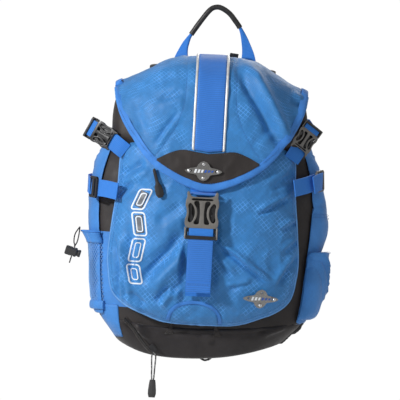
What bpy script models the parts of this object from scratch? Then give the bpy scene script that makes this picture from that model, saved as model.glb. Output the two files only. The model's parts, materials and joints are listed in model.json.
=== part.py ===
"""Ski backpack, hanging by its haul loop.

Shapes are worked out in millimetres in the pack's own frame: x to the right as seen from
the front, y to the back, z up, with z = 0 at the lowest point of the base and y = 0 on the
plane of the back. Everything hangs under one empty, which puts the inner top of the haul
loop at the world's origin.
"""

import math

import bmesh
import bpy
from mathutils import Matrix, Vector

MM = 0.001
GAP = 0.3  # clearance between pieces that touch

# Driving dimensions, in millimetres
LOOP_INNER_TOP = 530.0
LOOP_Y = 10.0
FABRIC = 3.0  # the padded wall of the bag
WEB_THICK = 1.5
WIDE_WEB = 38.0
NARROW_WEB = 25.0
SIDE_BUCKLE_SCALE = 0.66
LID_THICK = 4.0
LID_BINDING = 10.0
LID_HINGE = (0.0, -14.0, 449.0)
BASE_TOP = 42.0
CORE_Y = -65.0  # an upright line well inside the bag

# Outlines: (height, value) or (distance from the middle, value)
HALF_WIDTH = [(0, 122), (15, 135), (30, 146), (50, 155), (70, 159), (110, 165), (154, 167),
              (200, 172), (258, 174), (300, 163), (340, 151), (380, 139), (440, 124)]
DEPTH = [(0, 104), (15, 116), (30, 123), (50, 127), (100, 130), (380, 128), (440, 118)]
LID_DROP = [(0, 0), (30, 1.8), (60, 7.5), (80, 19), (93, 27), (120, 40.5), (144, 51), (160, 57)]
LID_PATH = [(-14, 449), (-30, 457), (-70, 462), (-110, 461), (-145, 451), (-170, 431),
            (-184, 400), (-189, 360), (-192, 320), (-194, 285), (-195, 253)]
LID_HEM = [(0, 252.75), (10.5, 253.5), (36, 262.5), (60, 274.5), (77, 285), (97.5, 304.5),
           (112.5, 325), (126, 345), (136.5, 367), (141, 385.5), (144.3, 406)]
POCKET_HALF = [(0, 50), (54, 52), (90, 64), (117, 76), (137, 96), (144, 130), (145.5, 157),
               (140.4, 213), (135.5, 255), (134, 300), (128, 321), (108, 333), (60, 338), (0, 339)]
POCKET_MIDDLE = (0.0, 190.0)
ARCH_X = -8.6
POCKET_GAP = 2.0  # the front pocket stands this far off the facets of the bag's front


# ---------------------------------------------------------------- curves and surfaces

def along(points, t):
    """Smooth monotone interpolation through (t, value) pairs."""
    if t <= points[0][0]:
        return points[0][1]
    if t >= points[-1][0]:
        return points[-1][1]
    slopes = [(b[1] - a[1]) / (b[0] - a[0]) for a, b in zip(points, points[1:])]
    tangents = [slopes[0]]
    for before, after in zip(slopes, slopes[1:]):
        tangents.append(0.0 if before * after <= 0 else 2 * before * after / (before + after))
    tangents.append(slopes[-1])
    for i, (a, b) in enumerate(zip(points, points[1:])):
        if t <= b[0]:
            h = b[0] - a[0]
            s = (t - a[0]) / h
            return ((2 * s**3 - 3 * s**2 + 1) * a[1] + (s**3 - 2 * s**2 + s) * h * tangents[i]
                    + (3 * s**2 - 2 * s**3) * b[1] + (s**3 - s**2) * h * tangents[i + 1])


def spline(points, steps):
    """Catmull-Rom points through a list of vectors, with the ends kept."""
    vectors = [Vector(p) for p in points]
    padded = [2 * vectors[0] - vectors[1]] + vectors + [2 * vectors[-1] - vectors[-2]]
    out = []
    for p0, p1, p2, p3 in zip(padded, padded[1:], padded[2:], padded[3:]):
        for i in range(steps):
            t = i / steps
            out.append(0.5 * (2 * p1 + (p2 - p0) * t + (2 * p0 - 5 * p1 + 4 * p2 - p3) * t**2
                              + (3 * p1 - p0 - 3 * p2 + p3) * t**3))
    return out + [vectors[-1]]


def mirrored(half):
    """A closed outline from its right half, which runs from the bottom to the top."""
    left = [(-x, z) for x, z in reversed(half[1:-1])]
    return list(half) + left


def signed_power(value, power):
    return math.copysign(abs(value) ** power, value)


def floor_rise(x):
    """How far the underside rises away from its lowest point."""
    if x > -18:
        return 28 * ((x + 18) / 140) ** 2
    return 28 * ((-18 - x) / 114) ** 3


def bag_point(level, angle, out=0.0):
    """A point on the bag: angle 0 is its right side, 90 the front, -90 the back."""
    width = along(HALF_WIDTH, level) + out
    half_depth = along(DEPTH, level) / 2
    front = angle > 0 and angle < 180
    power = 2 / 3.2 if front else 2 / 7
    c = math.cos(math.radians(angle))
    s = math.sin(math.radians(angle))
    x = width * signed_power(c, power)
    y = -half_depth - (half_depth + (out if front else 0)) * signed_power(s, power)
    z = level
    if level < 70:
        z += floor_rise(x) * (1 - level / 70)
    if level > 300:
        z -= along(LID_DROP, abs(x)) * (level - 300) / 138
    return Vector((x, y, z))


def bag_level(x, z):
    """The level of the bag that passes through x and z near its lower edge."""
    rise = floor_rise(x)
    return (z - rise) / (1 - rise / 70) if z < 70 else z


def bag_front(x, z):
    """The y of the bag's front at x and z."""
    level = max(bag_level(x, z), 0)
    half_depth = along(DEPTH, level) / 2
    across = min(abs(x) / along(HALF_WIDTH, level), 1)
    return -half_depth - half_depth * (1 - across**3.2) ** (1 / 3.2)


def bag_side(y, z, out=0.0):
    """The half width of the bag at y and z."""
    half_depth = along(DEPTH, z) / 2
    across = min(abs(y + half_depth) / half_depth, 1)
    power = 3.2 if y < -half_depth else 7
    return along(HALF_WIDTH, z) * (1 - across**power) ** (1 / power) + out


POCKET_OUTLINE = [tuple(p)[:2] for p in
                  spline([(x, z, 0) for x, z in mirrored(POCKET_HALF)] + [(*POCKET_HALF[0], 0)], 2)[:-1]]


def pocket_fraction(x, z):
    """How far x and z lie from the pocket's middle, as a part of the way to its edge."""
    dx = x - POCKET_MIDDLE[0]
    dz = z - POCKET_MIDDLE[1]
    ring = POCKET_OUTLINE + POCKET_OUTLINE[:1]
    for a, b in zip(ring, ring[1:]):
        ax, az = a[0] - POCKET_MIDDLE[0], a[1] - POCKET_MIDDLE[1]
        bx, bz = b[0] - POCKET_MIDDLE[0], b[1] - POCKET_MIDDLE[1]
        turn = ax * bz - az * bx
        u = (dx * bz - dz * bx) / turn
        v = (ax * dz - az * dx) / turn
        if u >= 0 and v >= 0:
            return u + v
    return 0.0


def pocket_depth(fraction):
    return 12 + 43 * max(1 - fraction**5, 0) ** 0.6


def pocket_front(x, z):
    return bag_front(x, z) - POCKET_GAP - pocket_depth(min(pocket_fraction(x, z), 1))


LID_RUN = [0.0]
for before, after in zip(LID_PATH, LID_PATH[1:]):
    LID_RUN.append(LID_RUN[-1] + math.dist(before, after))
LID_Y = [(q, p[0]) for q, p in zip(LID_RUN, LID_PATH)]
LID_Z = [(q, p[1]) for q, p in zip(LID_RUN, LID_PATH)]
LID_BROW = 95.0  # the run from the hinge at which the lid starts to fall


def lid_bare(x, q):
    back = min(max((q - 60) / 140, 0), 1)
    recede = 26 * (abs(x) / 144) ** 3 * back * back * (3 - 2 * back)
    return Vector((x, along(LID_Y, q) + recede, along(LID_Z, q) - along(LID_DROP, abs(x))))


def lid_at(x, q, out=0.0):
    """The lid's outer surface: x across it, q along it from the hinge, out above it."""
    if not out:
        return lid_bare(x, q)
    across = lid_bare(x + 1, q) - lid_bare(x - 1, q)
    down = lid_bare(x, q + 1) - lid_bare(x, q - 1)
    return lid_bare(x, q) + across.cross(down).normalized() * -out


def lid_run(x, z):
    """The run at which the lid's front passes through x and z."""
    low, high = LID_BROW, LID_RUN[-1]
    for _ in range(40):
        q = (low + high) / 2
        if along(LID_Z, q) - along(LID_DROP, abs(x)) > z:
            low = q
        else:
            high = q
    return (low + high) / 2


LID_HALF = ([(x, lid_run(x, z)) for x, z in LID_HEM]
            + [(143.5, 70.0), (137.0, 34.0), (127.0, 10.0), (117.0, 0.0)])


# ---------------------------------------------------------------- building helpers

for old in list(bpy.data.objects):
    bpy.data.objects.remove(old)

PARTS = bpy.data.collections.new("ski_backpack")
CUTTERS = bpy.data.collections.new("cutters")
for collection in (PARTS, CUTTERS):
    bpy.context.scene.collection.children.link(collection)

HANGER = bpy.data.objects.new("hanging_point", None)
HANGER.location = Vector((0, -LOOP_Y, -LOOP_INNER_TOP)) * MM
bpy.context.scene.collection.objects.link(HANGER)


def look(name, colour, roughness, metallic=0.0):
    material = bpy.data.materials.new(name)
    material.use_nodes = True
    shader = material.node_tree.nodes["Principled BSDF"]
    shader.inputs["Base Color"].default_value = (*colour, 1)
    shader.inputs["Roughness"].default_value = roughness
    shader.inputs["Metallic"].default_value = metallic
    return material


RIPSTOP = look("blue_ripstop", (0.055, 0.21, 0.60), 0.55)
NYLON = look("blue_nylon", (0.05, 0.18, 0.52), 0.6)
WEBBING = look("blue_webbing", (0.042, 0.19, 0.56), 0.7)
BLACK = look("black_fabric", (0.022, 0.019, 0.02), 0.85)
MESH = look("blue_mesh", (0.06, 0.20, 0.50), 0.8)
PLASTIC = look("grey_acetal", (0.11, 0.105, 0.10), 0.45)
DARK_PLASTIC = look("black_acetal", (0.02, 0.02, 0.022), 0.4)
RUBBER = look("black_rubber", (0.03, 0.03, 0.03), 0.6)
METAL = look("bright_badge", (0.45, 0.46, 0.48), 0.35, 1.0)
STEEL = look("spring_steel", (0.5, 0.5, 0.5), 0.3, 1.0)
SHEET = look("frame_sheet", (0.6, 0.6, 0.58), 0.5)


def place(obj, material, pivot=(0, 0, 0)):
    """Puts an object whose data is in metres about its pivot under the hanging point."""
    obj.data.materials.append(material)
    obj.parent = HANGER
    obj.location = Vector(pivot) * MM
    PARTS.objects.link(obj)
    return obj


def node(name, points, faces, material, pivot=(0, 0, 0)):
    """A mesh from points in millimetres, with its origin at the pivot."""
    mesh = bpy.data.meshes.new(name)
    mesh.from_pydata([(Vector(p) - Vector(pivot)) * MM for p in points], [], faces)
    work = bmesh.new()
    work.from_mesh(mesh)
    bmesh.ops.remove_doubles(work, verts=work.verts, dist=1e-6)
    bmesh.ops.recalc_face_normals(work, faces=work.faces)
    work.to_mesh(mesh)
    work.free()
    mesh.shade_smooth()
    mesh.set_sharp_from_angle(angle=math.radians(40))
    return place(bpy.data.objects.new(name, mesh), material, pivot)


def thicken(obj, thickness, outward):
    """Solidify an open surface to the inside of the direction that outward gives."""
    mesh = obj.data
    total = sum((Vector(f.normal).dot(outward(Vector(f.center))) for f in mesh.polygons))
    if total < 0:
        mesh.flip_normals()
    solid = obj.modifiers.new("thickness", "SOLIDIFY")
    solid.thickness = thickness * MM
    solid.offset = -1
    solid.use_even_offset = True
    solid.use_quality_normals = True
    return obj


def sheet(name, rows, thickness, material, outward, pivot=(0, 0, 0), ring=False):
    """A thickened grid of points; ring closes each row on itself."""
    count = len(rows[0])
    faces = []
    for r in range(len(rows) - 1):
        for c in range(count if ring else count - 1):
            d = (c + 1) % count
            faces.append((r * count + c, r * count + d, (r + 1) * count + d, (r + 1) * count + c))
    obj = node(name, [p for row in rows for p in row], faces, material, pivot)
    return thicken(obj, thickness, outward)


def disc_faces(rings, count):
    """Faces of a fan and its rings: point 0 is the middle."""
    faces = [(0, 1 + i, 1 + (i + 1) % count) for i in range(count)]
    for r in range(rings - 1):
        for i in range(count):
            a = 1 + r * count + i
            b = 1 + r * count + (i + 1) % count
            faces.append((a, b, b + count, a + count))
    return faces


def disc_points(outline, middle, fractions, surface):
    points = [surface(*middle, 0.0)]
    for f in fractions:
        points += [surface(middle[0] + (a - middle[0]) * f, middle[1] + (b - middle[1]) * f, f)
                   for a, b in outline]
    return points


def pillow(name, outline, middle, front, back, material, fractions, behind, pivot=(0, 0, 0)):
    """A closed pad between a front and a back surface that share an outline."""
    count = len(outline)
    near = disc_points(outline, middle, fractions, front)
    far = disc_points(outline, middle, behind, back)
    faces = disc_faces(len(fractions), count)
    start = len(near)
    faces += [tuple(start + i for i in reversed(f)) for f in disc_faces(len(behind), count)]
    a = 1 + (len(fractions) - 1) * count
    b = start + 1 + (len(behind) - 1) * count
    faces += [(a + i, b + i, b + (i + 1) % count, a + (i + 1) % count) for i in range(count)]
    return node(name, near + far, faces, material, pivot)


def loft(name, rings, material, pivot=(0, 0, 0), closed=False):
    """A skin over rings with as many points each; closed joins the last to the first."""
    count = len(rings[0])
    faces = []
    for r in range(len(rings) if closed else len(rings) - 1):
        s = (r + 1) % len(rings)
        faces += [(r * count + i, r * count + (i + 1) % count, s * count + (i + 1) % count,
                   s * count + i) for i in range(count)]
    if not closed:
        faces.append(tuple(range(count)))
        faces.append(tuple(reversed(range((len(rings) - 1) * count, len(rings) * count))))
    return node(name, [p for ring in rings for p in ring], faces, material, pivot)


def section(centre, across, out, half_width, half_thick, corners=8, squareness=4):
    """A rounded ring: a superellipse in the plane of across and out."""
    ring = []
    for i in range(corners):
        angle = 2 * math.pi * (i + 0.5) / corners
        ring.append(Vector(centre)
                    + across * half_width * signed_power(math.cos(angle), 2 / squareness)
                    + out * half_thick * signed_power(math.sin(angle), 2 / squareness))
    return ring


def strap(name, path, across, width, thickness, material, pivot=(0, 0, 0)):
    """Flat webbing along a path; across is one direction, or one for each point."""
    path = [Vector(p) for p in path]
    dirs = across if isinstance(across, list) else [Vector(across)] * len(path)
    widths = width if isinstance(width, list) else [width] * len(path)
    rings = []
    for i, (point, side, wide) in enumerate(zip(path, dirs, widths)):
        forward = (path[min(i + 1, len(path) - 1)] - path[max(i - 1, 0)]).normalized()
        side = (side - forward * side.dot(forward)).normalized()
        out = forward.cross(side)
        rings.append([point + side * wide / 2 * a + out * thickness / 2 * b
                      for a, b in ((1, 1), (-1, 1), (-1, -1), (1, -1))])
    return loft(name, rings, material, pivot)


def tube(name, path, radius, material, pivot=(0, 0, 0)):
    """A round cord: a bevelled curve with filled caps."""
    curve = bpy.data.curves.new(name, "CURVE")
    curve.dimensions = "3D"
    curve.bevel_depth = radius * MM
    curve.bevel_resolution = 2
    curve.use_fill_caps = True
    line = curve.splines.new("POLY")
    line.points.add(len(path) - 1)
    for point, where in zip(line.points, path):
        point.co = (*((Vector(where) - Vector(pivot)) * MM), 1)
    return place(bpy.data.objects.new(name, curve), material, pivot)


def meshed(obj):
    """Turns a curve object into a mesh object of the same name, with its caps welded."""
    bpy.context.view_layer.update()
    graph = bpy.context.evaluated_depsgraph_get()
    mesh = bpy.data.meshes.new_from_object(obj.evaluated_get(graph))
    work = bmesh.new()
    work.from_mesh(mesh)
    bmesh.ops.remove_doubles(work, verts=work.verts, dist=1e-6)
    bmesh.ops.dissolve_limit(work, angle_limit=0.001, verts=work.verts, edges=work.edges)
    bmesh.ops.recalc_face_normals(work, faces=work.faces)
    work.to_mesh(mesh)
    work.free()
    name = obj.name
    twin = bpy.data.objects.new(name + "_mesh", mesh)
    twin.parent = obj.parent
    twin.matrix_local = obj.matrix_local
    for collection in obj.users_collection:
        collection.objects.link(twin)
    bpy.data.objects.remove(obj)
    twin.name = name
    return twin


def plate(name, outline, low, high, frame, material, pivot, holes=(), bevel=0.0):
    """A flat outline drawn in a frame's x-y plane, from low to high along its z axis."""
    curve = bpy.data.curves.new(name, "CURVE")
    curve.dimensions = "2D"
    curve.fill_mode = "BOTH"
    curve.extrude = (high - low) / 2 * MM
    shift = frame.inverted() @ Vector(pivot)
    for loop in (outline, *holes):
        line = curve.splines.new("POLY")
        line.points.add(len(loop) - 1)
        line.use_cyclic_u = True
        for point, (u, v) in zip(line.points, loop):
            point.co = (u * MM, v * MM, 0, 1)
    obj = bpy.data.objects.new(name, curve)
    place(obj, material)
    middle = frame @ Vector((0, 0, (high + low) / 2))
    turned = frame.to_3x3().to_4x4()
    obj.matrix_local = Matrix.Translation(middle * MM) @ turned
    obj = meshed(obj)
    # move the origin onto the pivot
    offset = turned.inverted() @ ((middle - Vector(pivot)) * MM)
    obj.data.transform(Matrix.Translation(offset))
    obj.matrix_local = Matrix.Translation(Vector(pivot) * MM) @ turned
    if bevel:
        edge = obj.modifiers.new("edge", "BEVEL")
        edge.width = bevel * MM
        edge.segments = 1
        edge.limit_method = "ANGLE"
        edge.angle_limit = math.radians(50)
    return obj


def cutter(name, boxes, frame):
    """Boxes in a frame, each given by two opposite corners, joined in one cutting mesh."""
    work = bmesh.new()
    for low, high in boxes:
        size = Vector(high) - Vector(low)
        middle = (Vector(high) + Vector(low)) / 2
        bmesh.ops.create_cube(work, size=1, matrix=Matrix.Translation(middle * MM)
                              @ Matrix.Diagonal((*(size * MM), 1)))
    mesh = bpy.data.meshes.new(name)
    work.to_mesh(mesh)
    work.free()
    obj = bpy.data.objects.new(name, mesh)
    obj.parent = HANGER
    obj.matrix_local = Matrix.Translation(frame.translation * MM) @ frame.to_3x3().to_4x4()
    obj.hide_render = True
    obj.display_type = "WIRE"
    CUTTERS.objects.link(obj)
    return obj


def cut(obj, tool):
    boolean = obj.modifiers.new("cut", "BOOLEAN")
    boolean.operation = "DIFFERENCE"
    boolean.solver = "EXACT"
    boolean.object = tool
    return obj


def frame_of(origin, across, along_dir, outward):
    """A frame whose x, y and z axes are across, along and outward."""
    frame = Matrix((across, along_dir, outward)).transposed().to_4x4()
    frame.translation = Vector(origin)
    return frame


def forward_only(point):
    return Vector((0, -1, 0))


def from_middle(point):
    """Away from the upright line through the core of the bag."""
    return Vector((point.x, point.y - CORE_Y * MM, 0))


# ---------------------------------------------------------------- the bag

RING = [i * 10.0 - 180 for i in range(36)]
BAG_LEVELS = [70, 110, 160, 210, 260, 300, 345, 390, 438]


def build_bag():
    levels = [BASE_TOP + 1.5, *BAG_LEVELS]
    rows = [[bag_point(level, a) for a in RING] for level in levels]
    sheet("main_bag", rows, FABRIC, NYLON, from_middle, ring=True)

    rows = [[bag_point(level, a) for a in RING] for level in (BASE_TOP, 28, 14, 5)]
    rows.append([bag_point(0, a) for a in RING])
    middle = Vector((0, -along(DEPTH, 0) / 2, 0))
    for inward in (0.7, 0.35):
        ring = []
        for p in rows[4]:
            x = p.x * inward
            ring.append(Vector((x, middle.y + (p.y - middle.y) * inward, floor_rise(x))))
        rows.append(ring)
    count = len(RING)
    points = [p for row in rows for p in row] + [Vector((0, middle.y, floor_rise(0)))]
    faces = []
    for r in range(len(rows) - 1):
        faces += [(r * count + i, r * count + (i + 1) % count, (r + 1) * count + (i + 1) % count,
                   (r + 1) * count + i) for i in range(count)]
    last = (len(rows) - 1) * count
    faces += [(last + i, last + (i + 1) % count, len(points) - 1) for i in range(count)]
    base = node("base_panel", points, faces, BLACK)
    thicken(base, FABRIC, lambda c: Vector((c.x, c.y + 0.065, c.z - 0.06)))


def side_rows(sign, angles, levels, out):
    """Rows of points over the bag's side, standing out(u, v) from it."""
    rows = []
    for i, level in enumerate(levels):
        row = []
        for j, angle in enumerate(angles):
            u = j / (len(angles) - 1)
            v = i / (len(levels) - 1)
            p = bag_point(level, angle)
            step = bag_point(level, angle + 1) - bag_point(level, angle - 1)
            normal = Vector((-step.y, step.x, 0)).normalized()
            if normal.x < 0:
                normal = -normal
            p = p + normal * out(u, v)
            row.append(Vector((p.x * sign, p.y, p.z)))
        rows.append(row)
    return rows


def side_way(sign):
    return lambda point: Vector((sign, 0, 0))


SIDE_SAG = 13.0


def build_sides():
    levels = sorted({50, *BAG_LEVELS[:-2], 196, 376})

    def right_side(u, v):
        """The right side sags outwards just above its pocket."""
        level = levels[round(v * (len(levels) - 1))]
        angle = -50 + 80 * u
        fullness = max(1 - ((angle + 5) / 31) ** 2, 0)
        return 3.8 + SIDE_SAG * fullness * math.exp(-((level - 202) / 34) ** 2)

    for name, sign in (("left", -1), ("right", 1)):
        stand_off = right_side if sign > 0 else lambda u, v: 3.8
        rows = side_rows(sign, [-50, -40, -30, -20, -10, 0, 10, 20, 30], levels, stand_off)
        sheet(f"side_panel_{name}", rows, 2.8, NYLON, side_way(sign))


def pocket_bulge(depth, top_depth):
    """A side pocket's stand-off: closed at its sides and bottom, open at its hem."""
    def out(u, v):
        side = max(1 - abs(2 * u - 1) ** 3, 0) ** 0.6
        rise = min(v / 0.3, 1) ** 0.5
        return 6.6 + side * rise * (depth + (top_depth - depth) * v)
    return out


def build_side_pockets():
    angles = [-34, -28, -20, -10, 0, 10, 20, 27, 32]
    rows = side_rows(-1, angles, [66, 74, 86, 110, 140, 170, 190], pocket_bulge(6, 9))
    sheet("mesh_pocket", rows, 1.8, MESH, side_way(-1))
    rows = side_rows(1, angles, [62, 70, 84, 106, 130, 152, 171], pocket_bulge(12, 16))
    sheet("side_pocket_right", rows, 1.8, NYLON, side_way(1))


def build_front_pocket():
    def front(x, z, f):
        return Vector((x, bag_front(x, z) - POCKET_GAP - pocket_depth(f), z))

    def back(x, z, f):
        return Vector((x, bag_front(x, z) - POCKET_GAP, z))

    pillow("front_pocket", POCKET_OUTLINE, POCKET_MIDDLE, front, back, RIPSTOP,
           (0.3, 0.55, 0.75, 0.88, 0.95, 0.985, 1.0), (0.45, 0.7, 0.85, 1.0))

    # the arched lash patch low on the pocket
    crown = [(0, 84.5), (21, 83), (36, 77), (44, 66), (46, 55)]
    rows = []
    for i in range(17):
        x = ARCH_X + 46 * (i / 8 - 1)
        top = along(crown, abs(x - ARCH_X))
        low = 56.5
        rows.append([Vector((x, pocket_front(x, z) - 4.4, z))
                     for z in (low + (top - low) * j / 5 for j in range(6))])
    sheet("arch_patch", rows, 1.4, WEBBING, forward_only)


def build_back():
    """The padded back panel, flat on both faces, and the sheet that stiffens the bag."""
    half = [(0, 24), (70, 26), (108, 36), (122, 60), (128, 120), (130, 240), (126, 330), (116, 392),
            (96, 420), (60, 428), (0, 428)]
    ring = [tuple(p)[:2] for p in
            spline([(x, z, 0) for x, z in mirrored(half)] + [(*half[0], 0)], 1)[:-1]]
    frame = frame_of((0, 0, 0), Vector((1, 0, 0)), Vector((0, 0, 1)), Vector((0, -1, 0)))
    plate("back_panel", ring, -14.0, -GAP, frame, BLACK, (0, 0, 0), bevel=3.0)

    inner = [(x * 0.8, 70 + (z - 70) * 0.9) for x, z in ring if z > 60]
    plate("frame_sheet", inner, 5.2, 6.7, frame, SHEET, (0, 0, 0))


# ---------------------------------------------------------------- the lid

def build_lid():
    outline = lid_outline()
    inner = inset(outline, LID_BINDING + 0.8)
    middle = (0.0, 175.0)

    def surface(x, q, f):
        return lid_at(x, q)

    points = disc_points(inner, middle, (0.22, 0.42, 0.6, 0.76, 0.89, 1.0), surface)
    lid = node("lid", points, disc_faces(6, len(inner)), RIPSTOP, LID_HINGE)
    thicken(lid, LID_THICK, lid_way)

    outer_edge = edge_run(outline)
    inner_edge = edge_run(inset(outline, LID_BINDING))
    rows = [[lid_at(x, q, 0.4) for x, q in outer_edge], [lid_at(x, q, 0.4) for x, q in inner_edge]]
    sheet("lid_binding", rows, LID_THICK + 0.6, WEBBING, lid_way, LID_HINGE)


def lid_way(point):
    """Outwards over the lid, from a point well inside the bag."""
    return point + Vector(LID_HINGE) * MM - Vector((0, -60, 250)) * MM


def lid_outline():
    """The lid laid flat: x, and the run from the hinge."""
    half = [tuple(p)[:2] for p in spline([(x, q, 0) for x, q in LID_HALF], 2)]
    left = [(-x, q) for x, q in reversed(half[1:])]
    return half + left


def inset(outline, distance):
    """The outline moved inwards, except along its straight rear edge."""
    out = []
    count = len(outline)
    for i, (x, q) in enumerate(outline):
        ax, aq = outline[i - 1]
        bx, bq = outline[(i + 1) % count]
        if q < 1:
            out.append((x - math.copysign(distance, x), 0.0))
            continue
        dx, dq = bx - ax, bq - aq
        length = math.hypot(dx, dq)
        out.append((x + dq / length * distance, q - dx / length * distance))
    return out


def edge_run(outline):
    """The hem and sides of the lid from one rear corner to the other."""
    corner = len(outline) // 2
    return outline[corner + 1:] + outline[:corner + 1]


def build_lid_trim():
    rows = []
    low = lid_run(0, 314)
    for i in range(15):
        q = 14 + (low - 14) * i / 14
        rows.append([lid_at(x, q, 2.2) for x in (-21, -10.5, 0, 10.5, 21)])
    sheet("lid_stripe", rows, 1.4, WEBBING, lid_way, LID_HINGE)

    top = [(0, 308.4), (18, 310.5), (39, 312.8), (58, 307), (76, 297.5)]
    rows = []
    for i in range(21):
        x = -76 + 152 * i / 20
        high = along(top, abs(x))
        bottom = min(along(LID_HEM, abs(x)) + 11.6, high - 1.0)
        row = []
        for j in range(5):
            z = bottom + (high - bottom) * j / 4
            row.append(lid_at(x, lid_run(x, z), 2.2))
        rows.append(row)
    sheet("lid_panel", rows, 1.4, BLACK, lid_way, LID_HINGE)

    path = [(-5, -188.9, 268), (-5, -188.9, 254), (-5, -190.6, 250.4), (-5, -195.5, 248.4),
            (-5, -201.5, 246.6)]
    strap("lid_tab", path, (1, 0, 0), WIDE_WEB, 1.3, WEBBING, LID_HINGE)


# ---------------------------------------------------------------- badges

def badge_outline():
    """Four lobes joined by hollow sides, 56 by 30 across its points."""
    points = []
    for i in range(32):
        a = 2 * math.pi * i / 32
        reach = 1 / (abs(math.cos(a)) + abs(math.sin(a)))
        lobe = 0.80 + 0.20 * math.cos(4 * a)
        points.append((28 * math.cos(a) * (reach * 0.35 + 0.65) * lobe,
                       15 * math.sin(a) * (reach * 0.35 + 0.65) * lobe))
    return points


def build_badge(name, frame, pivot):
    """A plate with four holes, and the backing plate whose four studs pass through them."""
    outline = badge_outline()
    spots = [(19.5, 0), (-19.5, 0), (0, 9.6), (0, -9.6)]
    holes = []
    for u, v in spots:
        holes.append([(u + 2.2 * math.cos(-k * math.pi / 4), v + 2.2 * math.sin(-k * math.pi / 4))
                      for k in range(8)])
    plate(name, outline, 1.5, 2.7, frame, METAL, pivot, holes=holes)
    studs = bmesh.new()
    for u, v in spots:
        bmesh.ops.create_cone(studs, cap_ends=True, segments=8, radius1=1.8 * MM, radius2=1.5 * MM,
                              depth=3.2 * MM, matrix=Matrix.Translation(Vector((u, v, 1.9)) * MM))
    mesh = bpy.data.meshes.new(name + "_studs")
    studs.to_mesh(mesh)
    studs.free()
    shank = bpy.data.objects.new(name + "_studs", mesh)
    shank.parent = HANGER
    shank.matrix_local = Matrix.Translation(frame.translation * MM) @ frame.to_3x3().to_4x4()
    shank.hide_render = True
    shank.display_type = "WIRE"
    CUTTERS.objects.link(shank)
    small = [(u * 0.82, v * 0.82) for u, v in outline]
    backing = plate(name + "_rivets", small, 0.0, 1.2, frame, STEEL, pivot)
    joined = backing.modifiers.new("studs", "BOOLEAN")
    joined.operation = "UNION"
    joined.solver = "EXACT"
    joined.object = shank


def build_badges():
    across, up, out = Vector((1, 0, 0)), Vector((0, 0, 1)), Vector((0, -1, 0))
    lid_spot = lid_at(-6, lid_run(-6, 282.5))
    frame = frame_of((-6, lid_spot.y - 3.2, 282.5), across, up, out)
    build_badge("lid_badge", frame, LID_HINGE)
    x, z = 88.4, 97.5
    slope = (pocket_front(x + 18, z) - pocket_front(x - 18, z)) / 36
    rise = (pocket_front(x, z + 10) - pocket_front(x, z - 10)) / 20
    across = Vector((1, slope, 0)).normalized()
    out = Vector((0, rise, 1)).cross(across).normalized() * -1
    out = out if out.y < 0 else -out
    spot = (x, pocket_front(x, z) - 1.0, z)
    frame = frame_of(spot, across, out.cross(across), out)
    build_badge("front_badge", frame, spot)


# ---------------------------------------------------------------- buckles and straps

FEMALE_HALF = [(0, 0), (21, 0), (24, 2.5), (25, 8), (25, 30), (24.6, 42), (23, 49), (22, 54),
               (20.4, 55), (19.4, 53), (19.2, 48), (0, 48)]
MALE_HALF = [(0, -16), (20, -16), (23.5, -14), (25, -8), (25, -GAP), (21.4, -GAP), (21.4, 6),
             (4.2, 6), (4.2, 35), (2.6, 38), (0, 38.6)]
PRONG_PIVOT = (13.5, 9.8)
PRONG_ROOT = 3.5


def prong_outline(side):
    """One curved, springy arm, with a round root about its pivot."""
    u0, v0 = PRONG_PIVOT
    root = [(u0 + PRONG_ROOT * math.cos(math.radians(a)), v0 + PRONG_ROOT * math.sin(math.radians(a)))
            for a in (190, 225, 260, 295, 330, 360)]
    arm = [(20.4, 17), (21.8, 24), (21.4, 30), (18.2, 37), (14.6, 39.2), (12.4, 37.6), (15.2, 31),
           (15.4, 22), (12.2, 15.5)]
    return [(u * side, v) for u, v in root + arm]


def both_sides(half):
    return list(half) + [(-u, v) for u, v in reversed(half) if u]


def scaled(points, k):
    return [(u * k, v * k) for u, v in points]


def build_buckle(name, frame, k, material, female_pivot, male_pivot):
    """A side-release buckle: frame is at its mouth, its y axis towards the female's webbing."""
    female = plate(f"{name}_female", scaled(both_sides(FEMALE_HALF), k), -4.0 * k, 5.0 * k, frame,
                   material, female_pivot)
    cavity = [((-22.4 * k, -5 * k, -9 * k), (22.4 * k, 40 * k, 2.8 * k))]
    cut(female, cutter(f"{name}_cavity", cavity, frame))
    windows = []
    for side in (-1, 1):
        for low, high in ((16, 26), (30, 38.5)):
            u = sorted((side * 6 * k, side * 19.5 * k))
            windows.append(((u[0], low * k, 0), (u[1], high * k, 9 * k)))
    cut(female, cutter(f"{name}_windows", windows, frame))

    slot = scaled([(-20, -11), (-20, -5.5), (20, -5.5), (20, -11)], k)
    plate(f"{name}_male", scaled(both_sides(MALE_HALF), k), -2.6 * k, 2.4 * k, frame, material,
          male_pivot, holes=(slot,))
    for label, side in (("left", -1), ("right", 1)):
        root = frame @ Vector((PRONG_PIVOT[0] * side * k, PRONG_PIVOT[1] * k, 0))
        plate(f"{name}_prong_{label}", scaled(prong_outline(side), k), -2.3 * k, 2.2 * k, frame,
              material, root)


FRONT_BUCKLE_MOUTH = Vector((-5, -200, 197))


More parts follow.
